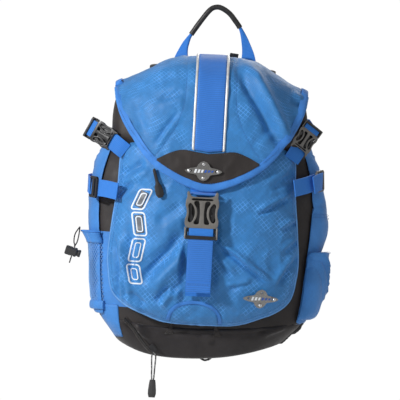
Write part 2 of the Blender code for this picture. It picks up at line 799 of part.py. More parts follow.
def build_front_buckle():
    across, up, out = Vector((1, 0, 0)), Vector((0, 0, 1)), Vector((0, -1, 0))
    frame = frame_of(FRONT_BUCKLE_MOUTH, across, up, out)
    build_buckle("front_buckle", frame, 1.0, PLASTIC, LID_HINGE, FRONT_BUCKLE_MOUTH)
    x = FRONT_BUCKLE_MOUTH.x
    fixed = [(x, pocket_front(x, 97) - 2.2, 95), (x, pocket_front(x, 110) - 2.2, 110),
             (x, -193.6, 125), (x, -195.9, 140), (x, -195.9, 192)]
    strap("front_strap", fixed, across, WIDE_WEB, WEB_THICK, WEBBING)
    tail = [(x, -198.4, 188.75), (x, -201.6, 188.7), (x, -203.4, 187.4), (x, -204.1, 184),
            (x, -203.9, 179.5), (x, -201.9, 175), (x, -199.4, 169), (x, -198.4, 160),
            (x, -198.4, 101)]
    strap("front_strap_tail", tail, across, WIDE_WEB - 1, WEB_THICK, WEBBING, FRONT_BUCKLE_MOUTH)


def tilted_frame(centre, along_dir, out, k):
    """A buckle frame whose female's middle is at centre."""
    v = Vector(along_dir).normalized()
    w = Vector(out)
    w = (w - v * w.dot(v)).normalized()
    u = v.cross(w)
    origin = Vector(centre) - v * 27.5 * k
    return frame_of(origin, u, v, w)


UPPER = {
    # female's middle, direction from the male to the female, outward face, where the webbing
    # turns back to the side, and the height at which it then runs
    "left": ((-157, -141, 328), (0.83, -0.30, -0.47), (-0.36, -0.93, 0.0), (-186, -119, 347), 355),
    "right": ((141, -141, 335), (-0.49, -0.24, -0.84), (0.36, -0.93, 0.0), (160, -121, 368), 370),
}


def build_upper_straps():
    k = SIDE_BUCKLE_SCALE
    for name, (centre, direction, out, knee, height) in UPPER.items():
        sign = -1 if name == "left" else 1
        frame = tilted_frame(centre, direction, out, k)
        u, v, w = (Vector(frame.col[i][:3]) for i in range(3))
        mouth = frame.translation
        material = DARK_PLASTIC if name == "left" else PLASTIC
        build_buckle(f"upper_buckle_{name}", frame, k, material, mouth, mouth)

        end = mouth + v * (48 * k + 1.2)
        root = Vector((sign * 124, pocket_front(sign * 124, 306) - 3.2, 306))
        strap(f"upper_tab_{name}", [end, end + v * 4, root], [u, u, u], NARROW_WEB, WEB_THICK, WEBBING)

        start = mouth - v * 3 * k - w * (2.6 * k + 1.2)
        side = [Vector((sign * (bag_side(y, height) + off), y, height))
                for y, off in ((-95, 8), (-70, 8), (-18, 3))]
        path = [start] + spline([start - v * 14, Vector(knee)] + side, 3)
        flat = Vector((0, 0, 1)) if u.z > 0 else Vector((0, 0, -1))
        across = [u.lerp(flat, min(1, max(0, i - 1) / 7)) for i in range(len(path))]
        strap(f"upper_strap_{name}", path, across, NARROW_WEB, WEB_THICK, WEBBING)


LOWER = {
    "left": [(-133, -166, 246), (-150, -150, 249), (-166, -125, 251), (-180, -90, 254), (-183, -50, 257),
             (-178, -14, 259)],
    "right": [(131, -168, 264), (150, -150, 270), (166, -125, 277), (180, -90, 280), (182, -50, 281),
              (176, -14, 282)],
}


def build_lower_straps():
    frame_half = [(0, -12), (13, -12), (16, -9), (16, 9), (13, 12), (0, 12)]
    slots = [[(-12.9, low), (-12.9, low + 4.5), (12.9, low + 4.5), (12.9, low)]
             for low in (-8.5, 3.5)]
    for name, path in LOWER.items():
        strap(f"lower_strap_{name}", spline(path, 2), (0, 0, 1), NARROW_WEB, WEB_THICK, WEBBING)
        here = Vector(path[2])
        v = (Vector(path[1]) - Vector(path[3])).normalized()
        w = Vector((0, 0, 1)).cross(v) * (1 if name == "left" else -1)
        if w.y > 0:
            w = -w
        w = (w - v * w.dot(v)).normalized()
        frame = frame_of(here + w * 3.4, v.cross(w), v, w)
        material = DARK_PLASTIC if name == "left" else PLASTIC
        plate(f"ladder_lock_{name}", both_sides(frame_half), -1.6, 1.6, frame, material, here,
              holes=slots)


# ---------------------------------------------------------------- zips and cords

def slider_shape(name, spot, up, out, tab, thickness):
    """A zip slider 8 wide and 12 long, whose flat tab reaches tab to one side."""
    v = Vector(up).normalized()
    w = Vector(out)
    w = (w - v * w.dot(v)).normalized()
    frame = frame_of(spot, v.cross(w), v, w)
    outline = [(-3, -6), (3, -6), (4, -2), (tab, -1.6), (tab, 1.6), (4, 2), (3, 6), (-3, 6), (-4, 0)]
    plate(name, outline, 0.0, thickness, frame, DARK_PLASTIC, spot)
    return frame


FRONT_ZIP_Z = 297.0
FRONT_SLIDER_X = -80.0
BASE_ZIP = [(-113, 56), (-105, 49), (-96, 40), (-88, 29), (-80, 19), (-72, 11), (-66, 7)]


def grip(name, path, material, pivot):
    """A moulded pull: flat oval sections along a path, fuller at its lower end."""
    widths = [8.6, 10.4, 11.6, 12.6, 12.8, 9.6]
    thicks = [3.4, 4.2, 4.6, 4.8, 4.4, 2.8]
    points = [Vector(p) for p in path]
    line = []
    for i in range(len(widths)):
        line.append(points[0].lerp(points[1], i / (len(widths) - 1)))
    direction = (points[1] - points[0]).normalized()
    out = Vector((0, -1, 0))
    out = (out - direction * out.dot(direction)).normalized()
    across = direction.cross(out)
    rings = [section(p, across, out, w / 2, t / 2, 10, 2.6) for p, w, t in zip(line, widths, thicks)]
    return loft(name, rings, material, pivot)


def build_zips():
    rows = []
    for i in range(17):
        x = -104 + 208 * i / 16
        z = FRONT_ZIP_Z + 8 * (1 - (x / 104) ** 2)
        rows.append([Vector((x, pocket_front(x, z + d) - 2.2, z + d)) for d in (-4, 4)])
    sheet("front_zip", rows, 1.2, DARK_PLASTIC, forward_only)
    x, z = FRONT_SLIDER_X, FRONT_ZIP_Z + 3.3
    spot = Vector((x, pocket_front(x, z) - 3.62, z))
    tab_end = Vector((x, -181.9, 286.5))
    down = (tab_end - spot).normalized()
    out = Vector((1, 0, 0)).cross(down)
    out = out if out.y < 0 else -out
    slider_shape("front_zip_slider", spot, out.cross(down), out, (tab_end - spot).length, 1.1)
    top = Vector((x, -184.6, 282.5))
    build_pull("front_zip_pull", top, Vector((x + 12.5, -190.5, 240.0)))

    rows = []
    line = [Vector((x, 0, z)) for x, z in BASE_ZIP]
    for i, p in enumerate(line):
        ahead = (line[min(i + 1, len(line) - 1)] - line[max(i - 1, 0)]).normalized()
        side = Vector((ahead.z, 0, -ahead.x)) * 4
        row = []
        for a in (-1, 1):
            q = p + side * a
            row.append(Vector((q.x, bag_front(q.x, q.z) - 2.2, q.z)))
        rows.append(row)
    sheet("base_zip", rows, 1.2, DARK_PLASTIC, forward_only)


def build_pull(name, top, end):
    """A short loop of cord and a moulded grip, as one piece."""
    direction = (end - top).normalized()
    out = Vector((0, -1, 0))
    out = (out - direction * out.dot(direction)).normalized()
    across = direction.cross(out)
    stations = [(0.0, 1.6, 1.2), (0.05, 2.4, 1.3), (0.25, 2.6, 1.3), (0.45, 2.6, 1.4), (0.53, 3.6, 1.8),
                (0.60, 5.4, 2.4), (0.75, 6.4, 2.6), (0.90, 6.2, 2.5), (1.0, 3.4, 1.4)]
    rings = [section(top.lerp(end, t), across, out, w, h, 10, 2.6) for t, w, h in stations]
    loft(name, rings, DARK_PLASTIC, top)


BASE_PULL_X = -66.0
BASE_CORD_RADIUS = 1.0


def build_base_pull():
    x = BASE_PULL_X
    spot = Vector((x - 1.5, bag_front(x, 14) - 3.6, 14))
    slider_shape("base_zip_slider", spot, (0.62, 0, -0.78), (0, -1, 0), 4.2, 3.2)
    y = spot.y - 5.2
    top, knot, half = 7.0, -33.0, 2.6
    # one cord doubled: up one side, over the slider's eye and down the other
    path = []
    steps = 8
    for i in range(steps):
        t = i / steps
        path.append((x - half * min(1, 1.4 - t) + 0.4, y, knot + (top - knot - half) * t))
    for i in range(5):
        a = math.pi * (1 - i / 4)
        path.append((x + half * math.cos(a) * 0.8, y, top - half + half * math.sin(a)))
    for i in range(steps):
        t = (i + 1) / steps
        path.append((x + half * min(1, 0.4 + t) - 0.4 * t, y, top - half - (top - knot - half) * t))
    tube("base_zip_cord", path, BASE_CORD_RADIUS, BLACK, (x, y, top))
    grip("base_zip_grip", [(x, y, knot - GAP), (x, y, -60)], DARK_PLASTIC, (x, y, top))


CORD_LOCK = Vector((-196, -80, 152))
CORD_LOCK_TILT = 15.0
DRAWCORD_EXIT = Vector((-187.5, -80, 190))


def build_cord_lock():
    """A barrel with a sprung plunger; its cross hole lets both strands of cord through."""
    tilt = math.radians(CORD_LOCK_TILT)
    axis = Vector((math.cos(tilt), 0, -math.sin(tilt)))
    up = Vector((math.sin(tilt), 0, math.cos(tilt)))
    frame = frame_of(CORD_LOCK, up, axis.cross(up), axis)

    def turned(name, profile, material, pivot):
        """A profile of radius and height, turned about the lock's long axis."""
        count = 12
        rings = []
        for r, a in profile:
            rings.append([frame @ Vector((r * math.cos(2 * math.pi * i / count),
                                          r * math.sin(2 * math.pi * i / count), a))
                          for i in range(count)])
        return loft(name, rings, material, pivot)

    barrel = turned("cord_lock_barrel",
                    [(0.8, -12), (5.6, -12), (7, -10.6), (7, 4.6), (6.4, 6), (5.3, 6), (5.3, -10.4),
                     (0.8, -10.4)], DARK_PLASTIC, DRAWCORD_EXIT)
    slot = [((-9, -3.6, -1.7), (9, 3.6, 1.7))]
    cut(barrel, cutter("cord_lock_slot", slot, frame))
    plunger = turned("cord_lock_plunger",
                     [(0.3, -3.4), (3.2, -3.4), (3.2, -7.4), (4.9, -7.4), (4.9, 8), (5.6, 9), (5.6, 11),
                      (4.6, 12), (0.3, 12)], DARK_PLASTIC, CORD_LOCK)
    slot = [((-9, -3.6, -1.8), (9, 3.6, 4.9))]
    cut(plunger, cutter("cord_lock_plunger_slot", slot, frame))
    helix = []
    for i in range(25):
        t = i / 24
        angle = 2 * math.pi * 3 * t
        helix.append(frame @ Vector((2.3 * math.cos(angle), 2.3 * math.sin(angle), -9.8 + 3.2 * t)))
    tube("cord_lock_spring", helix, 0.35, STEEL, CORD_LOCK)

    strand = 1.6
    down = [DRAWCORD_EXIT + Vector((0, -strand, 0)), DRAWCORD_EXIT + Vector((-6.5, -strand, -11)),
            CORD_LOCK + up * 16 + Vector((-3.4, -strand, 0)), CORD_LOCK + up * 8 + Vector((0, -strand, 0)),
            CORD_LOCK - up * 8 + Vector((0, -strand, 0)), CORD_LOCK - up * 14 + Vector((0, -2.6, 0)),
            CORD_LOCK - up * 17]
    back = [Vector((p.x, 2 * DRAWCORD_EXIT.y - p.y, p.z)) for p in reversed(down[:-1])]
    back[-2] = DRAWCORD_EXIT + Vector((-0.6, strand, -10))
    back[-3] = CORD_LOCK + up * 16 + Vector((1.6, strand, 0))
    tube("mesh_pocket_drawcord", spline(down + back, 3), 1.0, BLACK, DRAWCORD_EXIT)


# ---------------------------------------------------------------- the loop and the harness

LOOP_BASE_Z = 429.4


def loop_centre():
    """The loop's middle line in the plane of the back, and its width and thickness there."""
    left = [(-51, LOOP_BASE_Z, 24, 2.0), (-50, 440, 24, 2.0), (-48.5, 454, 22, 2.2),
            (-45, 470, 14, 3.4), (-40, 482, 8, 5.0), (-35.5, 490, 5.2, 5.2)]
    top = [(-22, 511, 5.2, 5.2), (-9, 528.5, 5.2, 5.2), (0, 533.4, 5.2, 5.2), (9, 532.4, 5.2, 5.2),
           (21, 525, 5.2, 5.2), (31, 513.5, 5.2, 5.2)]
    right = [(38, 504, 5.2, 5.2), (43, 494, 8, 4.6), (48, 480, 13, 3.4), (52, 465, 19, 2.4),
             (53.5, 452, 23, 2.0), (54, 440, 24, 2.0), (54, LOOP_BASE_Z, 24, 2.0)]
    return left + top + right


def build_haul_loop():
    pivot = (0, LOOP_Y, LOOP_BASE_Z)
    stations = loop_centre()
    centres = [Vector((x, LOOP_Y, z)) for x, z, _, _ in stations]
    rings = []
    for i, (x, z, width, thick) in enumerate(stations):
        forward = (centres[min(i + 1, len(centres) - 1)] - centres[max(i - 1, 0)]).normalized()
        if i in (0, len(stations) - 1):
            forward = Vector((0, 0, 1 if i == 0 else -1))
        across = forward.cross(Vector((0, 1, 0)))
        rings.append(section(centres[i], across, Vector((0, 1, 0)), width / 2, thick / 2, 8,
                             4 if width > 9 else 2.2))
    loft("haul_loop", rings, WEBBING, pivot)

    inner, outer = [], []
    for i in range(5, 13):
        forward = (centres[i + 1] - centres[i - 1]).normalized()
        across = forward.cross(Vector((0, 1, 0)))
        inner.append(section(centres[i], across, Vector((0, 1, 0)), 3.1, 3.1, 10, 2.0))
        outer.append(section(centres[i], across, Vector((0, 1, 0)), 4.1, 4.1, 10, 2.0))
    loft("haul_loop_sleeve", outer + list(reversed(inner)), RUBBER, pivot, closed=True)


SHOULDER = [(88, 18, 414), (88, 25, 432), (88, 37, 440), (89, 51, 430), (92, 62, 400), (97, 68, 350),
            (103, 67, 290), (109, 60, 235), (114, 49, 195)]
SHOULDER_FOOT = (134, 17, 106)
SHOULDER_HINGE = (116, 18, 414)  # the outer edge of the strap where it is sewn on


def build_harness():
    for name, sign in (("left", -1), ("right", 1)):
        path = spline([(x * sign, y, z) for x, y, z in SHOULDER], 2)
        pivot = Vector((SHOULDER_HINGE[0] * sign, *SHOULDER_HINGE[1:]))
        rings = []
        for i, p in enumerate(path):
            t = i / (len(path) - 1)
            forward = (path[min(i + 1, len(path) - 1)] - path[max(i - 1, 0)]).normalized()
            across = Vector((1, 0, 0))
            across = (across - forward * across.dot(forward)).normalized()
            out = forward.cross(across)
            width = 27 - 7 * t
            rings.append(section(p, across, out, width, 5.5 if 0 < i < len(path) - 1 else 3.5, 10, 3.4))
        loft(f"shoulder_strap_{name}", rings, BLACK, pivot)
        top = path[-1] + (path[-1] - path[-2]).normalized() * 1.2
        foot = Vector((SHOULDER_FOOT[0] * sign, SHOULDER_FOOT[1], SHOULDER_FOOT[2]))
        line = [top, top.lerp(foot, 0.3), top.lerp(foot, 0.65), foot]
        strap(f"shoulder_webbing_{name}", line, (1, 0, 0), NARROW_WEB, WEB_THICK, BLACK, pivot)


WING_HINGE_X = 104.0


def build_wings():
    """Padded hip-belt wings: the right lies out flat, the left is folded back."""
    outline = [(0, 26), (22, 24), (50, 46), (68, 76), (83, 104), (82, 112), (70, 113), (40, 100),
               (0, 84)]
    for name, sign, fold in (("left", -1, 118), ("right", 1, 0)):
        hinge = Vector((WING_HINGE_X * sign, 22, 60))
        turn = Matrix.Rotation(math.radians(fold * sign), 3, "Z")

        def put(a, b, thick):
            local = turn @ Vector((sign * a, thick, b - hinge.z))
            return hinge + local

        pillow(f"hip_belt_wing_{name}", outline, (35, 72),
               lambda a, b, f: put(a, b, -2.5 - 3.0 * (1 - f**4)),
               lambda a, b, f: put(a, b, 2.5 + 3.0 * (1 - f**4)), BLACK, (0.6, 1.0), (0.6, 1.0), hinge)


build_bag()
build_sides()
build_side_pockets()
build_front_pocket()
build_back()
build_lid()
build_lid_trim()
build_badges()
build_front_buckle()
build_upper_straps()
build_lower_straps()
build_zips()
build_base_pull()
build_cord_lock()
build_haul_loop()
build_harness()
build_wings()
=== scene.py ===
"""Looks of a ski backpack that hangs by its haul loop.

Lengths are in millimetres in the pack's own frame, as on a drawing of the pack: x to the
right as seen from the front, y to the back, z up from the base. at() turns them into the
frame's metres.
"""

import json
import math

import bmesh
import bpy
from mathutils import Matrix, Vector, noise
from mathutils.bvhtree import BVHTree


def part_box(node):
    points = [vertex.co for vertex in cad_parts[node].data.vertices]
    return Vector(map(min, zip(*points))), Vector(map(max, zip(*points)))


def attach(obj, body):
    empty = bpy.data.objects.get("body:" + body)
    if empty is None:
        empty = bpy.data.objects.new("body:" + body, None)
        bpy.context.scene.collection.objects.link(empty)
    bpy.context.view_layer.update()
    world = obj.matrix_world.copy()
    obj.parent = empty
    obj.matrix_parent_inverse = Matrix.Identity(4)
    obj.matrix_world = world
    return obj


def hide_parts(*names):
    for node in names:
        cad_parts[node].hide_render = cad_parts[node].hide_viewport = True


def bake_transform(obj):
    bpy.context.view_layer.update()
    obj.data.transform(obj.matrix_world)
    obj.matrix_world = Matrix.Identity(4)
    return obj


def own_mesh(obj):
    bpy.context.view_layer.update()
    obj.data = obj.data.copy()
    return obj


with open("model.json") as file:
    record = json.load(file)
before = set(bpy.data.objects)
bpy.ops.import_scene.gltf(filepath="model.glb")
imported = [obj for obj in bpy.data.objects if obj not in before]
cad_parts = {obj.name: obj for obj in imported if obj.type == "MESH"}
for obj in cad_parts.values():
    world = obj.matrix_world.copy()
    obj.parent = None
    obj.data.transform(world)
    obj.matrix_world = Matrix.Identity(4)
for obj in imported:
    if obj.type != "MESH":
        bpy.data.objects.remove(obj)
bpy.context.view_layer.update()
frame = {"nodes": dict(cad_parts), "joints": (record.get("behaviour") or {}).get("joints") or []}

MM = 0.001
ORIGIN = Vector((0, 10, 530))  # the hanging point in the pack's frame
NODES = frame["nodes"]


def at(x, y, z):
    return (Vector((x, y, z)) - ORIGIN) * MM


def to_pack(point):
    return Vector(point) / MM + ORIGIN


def clamp(t):
    return min(1.0, max(0.0, t))


def smooth(t):
    t = clamp(t)
    return t * t * (3 - 2 * t)


def along(points, t):
    """A straight-line read of a list of (place, value)."""
    for (a, va), (b, vb) in zip(points, points[1:]):
        if t <= b:
            return va + (vb - va) * clamp((t - a) / (b - a))
    return points[-1][1]


def spline(points, steps):
    """A smooth curve through the points."""
    pts = [Vector(p) for p in points]
    out = []
    for i in range(len(pts) - 1):
        a, b = pts[i], pts[i + 1]
        before = pts[i - 1] if i else a * 2 - b
        after = pts[i + 2] if i + 2 < len(pts) else b * 2 - a
        for k in range(steps):
            t = k / steps
            out.append(0.5 * ((2 * a) + (b - before) * t + (2 * before - 5 * a + 4 * b - after) * t * t
                              + (3 * a - before - 3 * b + after) * t ** 3))
    return out + [pts[-1]]


def lengths(points):
    """How far along a line of points each one lies."""
    run = [0.0]
    for a, b in zip(points, points[1:]):
        run.append(run[-1] + (b - a).length)
    return run


def evenly(found, count):
    """A line of points laid out again as count points, evenly spaced."""
    run = lengths(found)
    line, k = [], 0
    for j in range(count):
        due = run[-1] * j / (count - 1)
        while k < len(run) - 2 and run[k + 1] < due:
            k += 1
        t = (due - run[k]) / max(run[k + 1] - run[k], 1e-6)
        line.append(found[k].lerp(found[k + 1], clamp(t)))
    return line


def heading(path, i):
    """The way from the point before number i of a path to the one after it."""
    return path[min(i + 1, len(path) - 1)] - path[max(i - 1, 0)]


def forwards(p):
    return Vector((0, -1, 0))


def box_of(node):
    """The two far corners of a CAD node's box, in the pack's frame."""
    return [to_pack(corner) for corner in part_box(node)]


def placed(name, data):
    """A new object in the scene."""
    obj = bpy.data.objects.new(name, data)
    bpy.context.scene.collection.objects.link(obj)
    return obj


SIDES = (("left", -1), ("right", 1))
ACROSS, UP = Vector((1, 0, 0)), Vector((0, 0, 1))


# ---------------------------------------------------------------- camera, light and floor

VIEW_WIDTH = 600.0  # the width of the view at the pack's front, 1.5 mm for each of 400 columns
VIEW_CENTRE = (0.0, -120.0, 240.0)
LENS = 600.0
ROLL = math.radians(3.0)  # the pack hangs leaning by this angle
VIEW_SHIFT = -9.0  # the view's middle against the pack's, along the rolled picture


def make_camera():
    data = bpy.data.cameras.new("camera")
    data.lens = LENS
    data.sensor_width = 36.0
    cam = placed("camera", data)
    distance = VIEW_WIDTH * MM * LENS / data.sensor_width
    data.clip_end = 30.0
    turn = Matrix.Rotation(math.radians(90), 4, "X") @ Matrix.Rotation(ROLL, 4, "Z")
    shift = turn.to_3x3() @ Vector((VIEW_SHIFT * MM, 0, 0))
    turn.translation = at(*VIEW_CENTRE) + Vector((0, -distance, 0)) + shift
    cam.matrix_world = turn
    bpy.context.scene.camera = cam


def make_light(name, place, target, size, power):
    data = bpy.data.lights.new(name, "AREA")
    data.size = size
    data.energy = power
    light = placed(name, data)
    light.location = place
    light.rotation_euler = (Vector(target) - Vector(place)).to_track_quat("-Z", "Y").to_euler()


def make_studio():
    """White surroundings, three lamps and a pale floor."""
    world = bpy.data.worlds.new("studio")
    world.use_nodes = True
    tree = world.node_tree
    seen, lit = tree.nodes["Background"], tree.nodes.new("ShaderNodeBackground")
    # the ground behind the pack is seen white, and lights it less than it shows
    for ground, strength in ((seen, 1.02), (lit, 0.36)):
        ground.inputs["Color"].default_value = (1.0, 1.0, 1.0, 1)
        ground.inputs["Strength"].default_value = strength
    ray, both = tree.nodes.new("ShaderNodeLightPath"), tree.nodes.new("ShaderNodeMixShader")
    tree.links.new(ray.outputs["Is Camera Ray"], both.inputs[0])
    tree.links.new(lit.outputs[0], both.inputs[1])
    tree.links.new(seen.outputs[0], both.inputs[2])
    tree.links.new(both.outputs[0], tree.nodes["World Output"].inputs["Surface"])
    bpy.context.scene.world = world
    bpy.context.scene.view_settings.view_transform = "Standard"
    middle = at(0, -80, 240)
    make_light("key", (-1.55, -1.5, 0.42), middle, 0.2, 41)
    make_light("fill", (1.5, -1.4, -0.1), middle, 1.2, 3)
    make_light("rim", (0.3, 1.2, 0.6), middle, 0.8, 6)
    bpy.ops.mesh.primitive_grid_add(x_subdivisions=8, y_subdivisions=8, size=2.3,
                                    location=(0, 0, -0.72))
    floor = bpy.context.object
    floor.name = "floor"
    paint = bpy.data.materials.new("floor_paint")
    paint.use_nodes = True
    flat = paint.node_tree.nodes["Principled BSDF"].inputs
    flat["Base Color"].default_value = (0.8, 0.8, 0.79, 1)
    flat["Roughness"].default_value = 0.9
    floor.data.materials.append(paint)


# ---------------------------------------------------------------- materials

WAVE_TURN = 6.283  # a whole turn, for the weaves' sine waves


class Shader:
    """Builds one procedural material; pattern coordinates are millimetres on the cloth."""

    def __init__(self, name, roughness=0.6, metallic=0.0, sheen=0.0, specular=0.5, coat=0.0):
        self.material = bpy.data.materials.new(name)
        self.material.use_nodes = True
        self.tree = self.material.node_tree
        self.bsdf = self.tree.nodes["Principled BSDF"]
        self.bsdf.inputs["Roughness"].default_value = roughness
        self.bsdf.inputs["Metallic"].default_value = metallic
        self.bsdf.inputs["Specular IOR Level"].default_value = specular
        self.bsdf.inputs["Coat Weight"].default_value = coat
        self.bsdf.inputs["Sheen Weight"].default_value = sheen
        self.bsdf.inputs["Sheen Roughness"].default_value = 0.5

    def add(self, kind, **values):
        made = self.tree.nodes.new(kind)
        for key, value in values.items():
            setattr(made, key, value)
        return made

    def link(self, source, target):
        self.tree.links.new(source, target)

    def math(self, operation, a, b=None):
        made = self.add("ShaderNodeMath", operation=operation)
        for i, value in enumerate((a, b)):
            if value is None:
                continue
            if isinstance(value, (int, float)):
                made.inputs[i].default_value = value
            else:
                self.link(value, made.inputs[i])
        return made.outputs[0]

    def times(self, a, b):
        """The product of two sockets or numbers."""
        return self.math("MULTIPLY", a, b)

    def wave(self, coordinate, pitch):
        """A sine wave of a pitch in millimetres."""
        return self.math("SINE", self.times(coordinate, WAVE_TURN / pitch))

    def patches(self, size, detail, low, high, out_low=0.0, out_high=1.0):
        """Noise stretched from between low and high to between two other values."""
        return self.range(self.noise(size, detail), low, high, out_low, out_high)

    def cloth(self):
        """The cloth's own u and v, in millimetres, from its UV map."""
        uv = self.add("ShaderNodeUVMap", uv_map="cloth")
        split = self.add("ShaderNodeSeparateXYZ")
        self.link(uv.outputs[0], split.inputs[0])
        return [self.times(split.outputs[i], 1000.0) for i in (0, 1)]

    def solid(self):
        return self.add("ShaderNodeTexCoord").outputs["Object"]

    def noise(self, size, detail=3.0, vector=None, roughness=0.55):
        """Noise between 0 and 1 whose features are size millimetres across."""
        made = self.add("ShaderNodeTexNoise")
        made.inputs["Scale"].default_value = 1000.0 / size
        made.inputs["Detail"].default_value = detail
        made.inputs["Roughness"].default_value = roughness
        self.link(vector or self.solid(), made.inputs["Vector"])
        return made.outputs["Fac"]

    def lines(self, coordinate, pitch, width):
        """1 on thin lines of a pitch and width in millimetres, and 0 between."""
        place = self.math("FRACT", self.math("DIVIDE", coordinate, pitch))
        near = self.math("ABSOLUTE", self.math("SUBTRACT", place, 0.5))
        soft = self.add("ShaderNodeMapRange", interpolation_type="SMOOTHSTEP")
        self.link(near, soft.inputs["Value"])
        soft.inputs["From Min"].default_value = 0.5 - width / pitch
        soft.inputs["From Max"].default_value = 0.5 - width / pitch * 0.35
        return soft.outputs[0]

    def range(self, value, low, high, out_low, out_high):
        made = self.add("ShaderNodeMapRange")
        self.link(value, made.inputs["Value"])
        for key, number in zip(("From Min", "From Max", "To Min", "To Max"),
                               (low, high, out_low, out_high)):
            made.inputs[key].default_value = number
        return made.outputs[0]

    def mix(self, factor, a, b):
        made = self.add("ShaderNodeMix", data_type="RGBA")
        if isinstance(factor, (int, float)):
            made.inputs["Factor"].default_value = factor
        else:
            self.link(factor, made.inputs["Factor"])
        for socket, value in ((made.inputs["A"], a), (made.inputs["B"], b)):
            if isinstance(value, tuple):
                socket.default_value = (*value, 1)
            else:
                self.link(value, socket)
        return made.outputs["Result"]

    def colour(self, value):
        self.link(value, self.bsdf.inputs["Base Color"])

    def rough(self, value):
        self.link(value, self.bsdf.inputs["Roughness"])

    def bumps(self, *layers):
        """Each layer is a height between 0 and 1, and how high it stands in millimetres."""
        normal = None
        for height, distance in layers:
            bump = self.add("ShaderNodeBump")
            bump.inputs["Strength"].default_value = 0.8
            bump.inputs["Distance"].default_value = distance * MM
            self.link(height, bump.inputs["Height"])
            if normal:
                self.link(normal, bump.inputs["Normal"])
            normal = bump.outputs[0]
        self.link(normal, self.bsdf.inputs["Normal"])


def shade(colour, k):
    """A colour made k times as bright."""
    return tuple(min(1.0, c * k) for c in colour)


BLUE = (0.036, 0.255, 0.660)
WEB_BLUE = (0.025, 0.225, 0.78)
BLACK = (0.020, 0.0165, 0.0175)


def ripstop(name, base, grid=5.4):
    """Coated nylon with a raised diamond grid and a finer grid inside each diamond."""
    s = Shader(name, roughness=0.5, sheen=0.12, specular=0.45)
    u, v = s.cloth()
    a = s.times(s.math("ADD", u, v), 0.7071)
    b = s.times(s.math("SUBTRACT", u, v), 0.7071)
    thick = s.math("MAXIMUM", s.lines(a, grid, 0.62), s.lines(b, grid, 0.62))
    fine = s.math("MAXIMUM", s.lines(a, grid / 2.7, 0.7), s.lines(b, grid / 2.7, 0.7))
    ground = s.mix(s.patches(34, 3, 0.36, 0.66), shade(base, 0.86), shade(base, 1.12))
    ground = s.mix(s.patches(1.3, 2, 0.3, 0.7, 0.0, 0.34), ground, shade(base, 0.6))
    ground = s.mix(s.patches(5.5, 4, 0.4, 0.64, 0.0, 0.42), ground, shade(base, 0.66))
    worn = s.patches(17, 2, 0.38, 0.62, 0.2, 0.75)
    ground = s.mix(s.times(fine, worn), ground, shade(base, 0.55))
    light = tuple(min(1.0, c * 1.4 + 0.07) for c in base)
    seen = s.times(thick, s.patches(24, 2, 0.46, 0.66, 0.04, 0.72))
    s.colour(s.mix(seen, ground, light))
    s.rough(s.patches(9, 3, 0.3, 0.7, 0.46, 0.62))
    s.bumps((s.noise(7, 4), 0.5), (fine, 0.1), (thick, 0.24))
    return s.material


def plain_weave(name, base, pitch=0.9, sheen=0.15, roughness=0.62, cloud=0.14, crinkle=0.3):
    """Close plain-woven nylon, with a painted highlight on the crowns of its weave."""
    s = Shader(name, roughness=roughness, sheen=sheen, specular=0.35)
    u, v = s.cloth()
    weave = s.range(s.times(s.wave(u, pitch), s.wave(v, pitch)), -1, 1, 0, 1)
    ground = s.mix(s.patches(40, 3, 0.35, 0.65), shade(base, 1 - cloud), shade(base, 1 + cloud))
    ground = s.mix(s.patches(1.6, 3, 0.35, 0.7, 0.0, 0.35), ground, shade(base, 0.6))
    # Painted highlight: the crowns of the weave are made lighter.
    s.colour(s.mix(s.times(weave, 0.22), ground, shade(base, 1.5)))
    s.rough(s.patches(12, 3, 0.3, 0.7, roughness - 0.08, roughness + 0.08))
    s.bumps((s.noise(8, 4), crinkle), (weave, 0.08))
    return s.material


def webbing(name, base, rib=2.1):
    """Ribbed webbing: v runs along it, the ribs cross it, and each rib is a row of yarns. Painted shade
    darkens the valleys between the ribs, and a painted highlight lightens the yarns' crowns.
    """
    s = Shader(name, roughness=0.6, sheen=0.2, specular=0.35)
    u, v = s.cloth()
    ribs = s.range(s.wave(v, rib), -1, 1, 0, 1)
    yarns = s.range(s.wave(s.math("ADD", u, s.times(ribs, 0.3)), 1.15), -1, 1, 0, 1)
    ground = s.mix(s.patches(22, 3, 0.35, 0.65), shade(base, 0.9), shade(base, 1.1))
    # Painted shade: the valleys between the ribs are darker.
    ground = s.mix(s.times(ribs, 0.40), shade(base, 0.72), ground)
    # Painted highlight: the crowns of the yarns on each rib are lighter.
    ground = s.mix(s.times(s.times(yarns, ribs), 0.30), ground, shade(base, 1.45))
    s.colour(ground)
    s.rough(s.patches(3, 3, 0.3, 0.7, 0.5, 0.7))
    s.bumps((s.noise(16, 2), 0.4), (ribs, 0.28), (yarns, 0.09))
    return s.material


def moulded(name, base, roughness):
    """Satin moulded plastic: fine grain, faint flow marks and a few scuffs."""
    s = Shader(name, roughness=roughness, specular=0.5)
    flow = s.range(s.noise(14, 4, roughness=0.7), 0.35, 0.65, 0, 1)
    scuffs = s.range(s.noise(2.2, 5, roughness=0.75), 0.62, 0.74, 0.0, 0.5)
    s.colour(s.mix(scuffs, s.mix(flow, shade(base, 0.88), shade(base, 1.1)), shade(base, 1.7)))
    s.rough(s.patches(5, 4, 0.3, 0.7, roughness - 0.08, roughness + 0.12))
    s.bumps((s.noise(3.0, 3), 0.06), (s.noise(0.5, 2), 0.025))
    return s.material


def braided(name, base, fleck):
    """Braided cord: crossing strands with light flecks; u runs round it and v along it."""
    s = Shader(name, roughness=0.6, sheen=0.2)
    u, v = s.cloth()
    a = s.wave(s.math("ADD", v, u), 1.9)
    b = s.wave(s.math("SUBTRACT", v, u), 1.9)
    strands = s.range(s.math("MAXIMUM", a, b), -0.2, 1, 0, 1)
    flecks = s.patches(2.4, 1, 0.47, 0.53)
    s.colour(s.mix(s.times(flecks, strands), base, fleck))
    s.bumps((strands, 0.25))
    return s.material


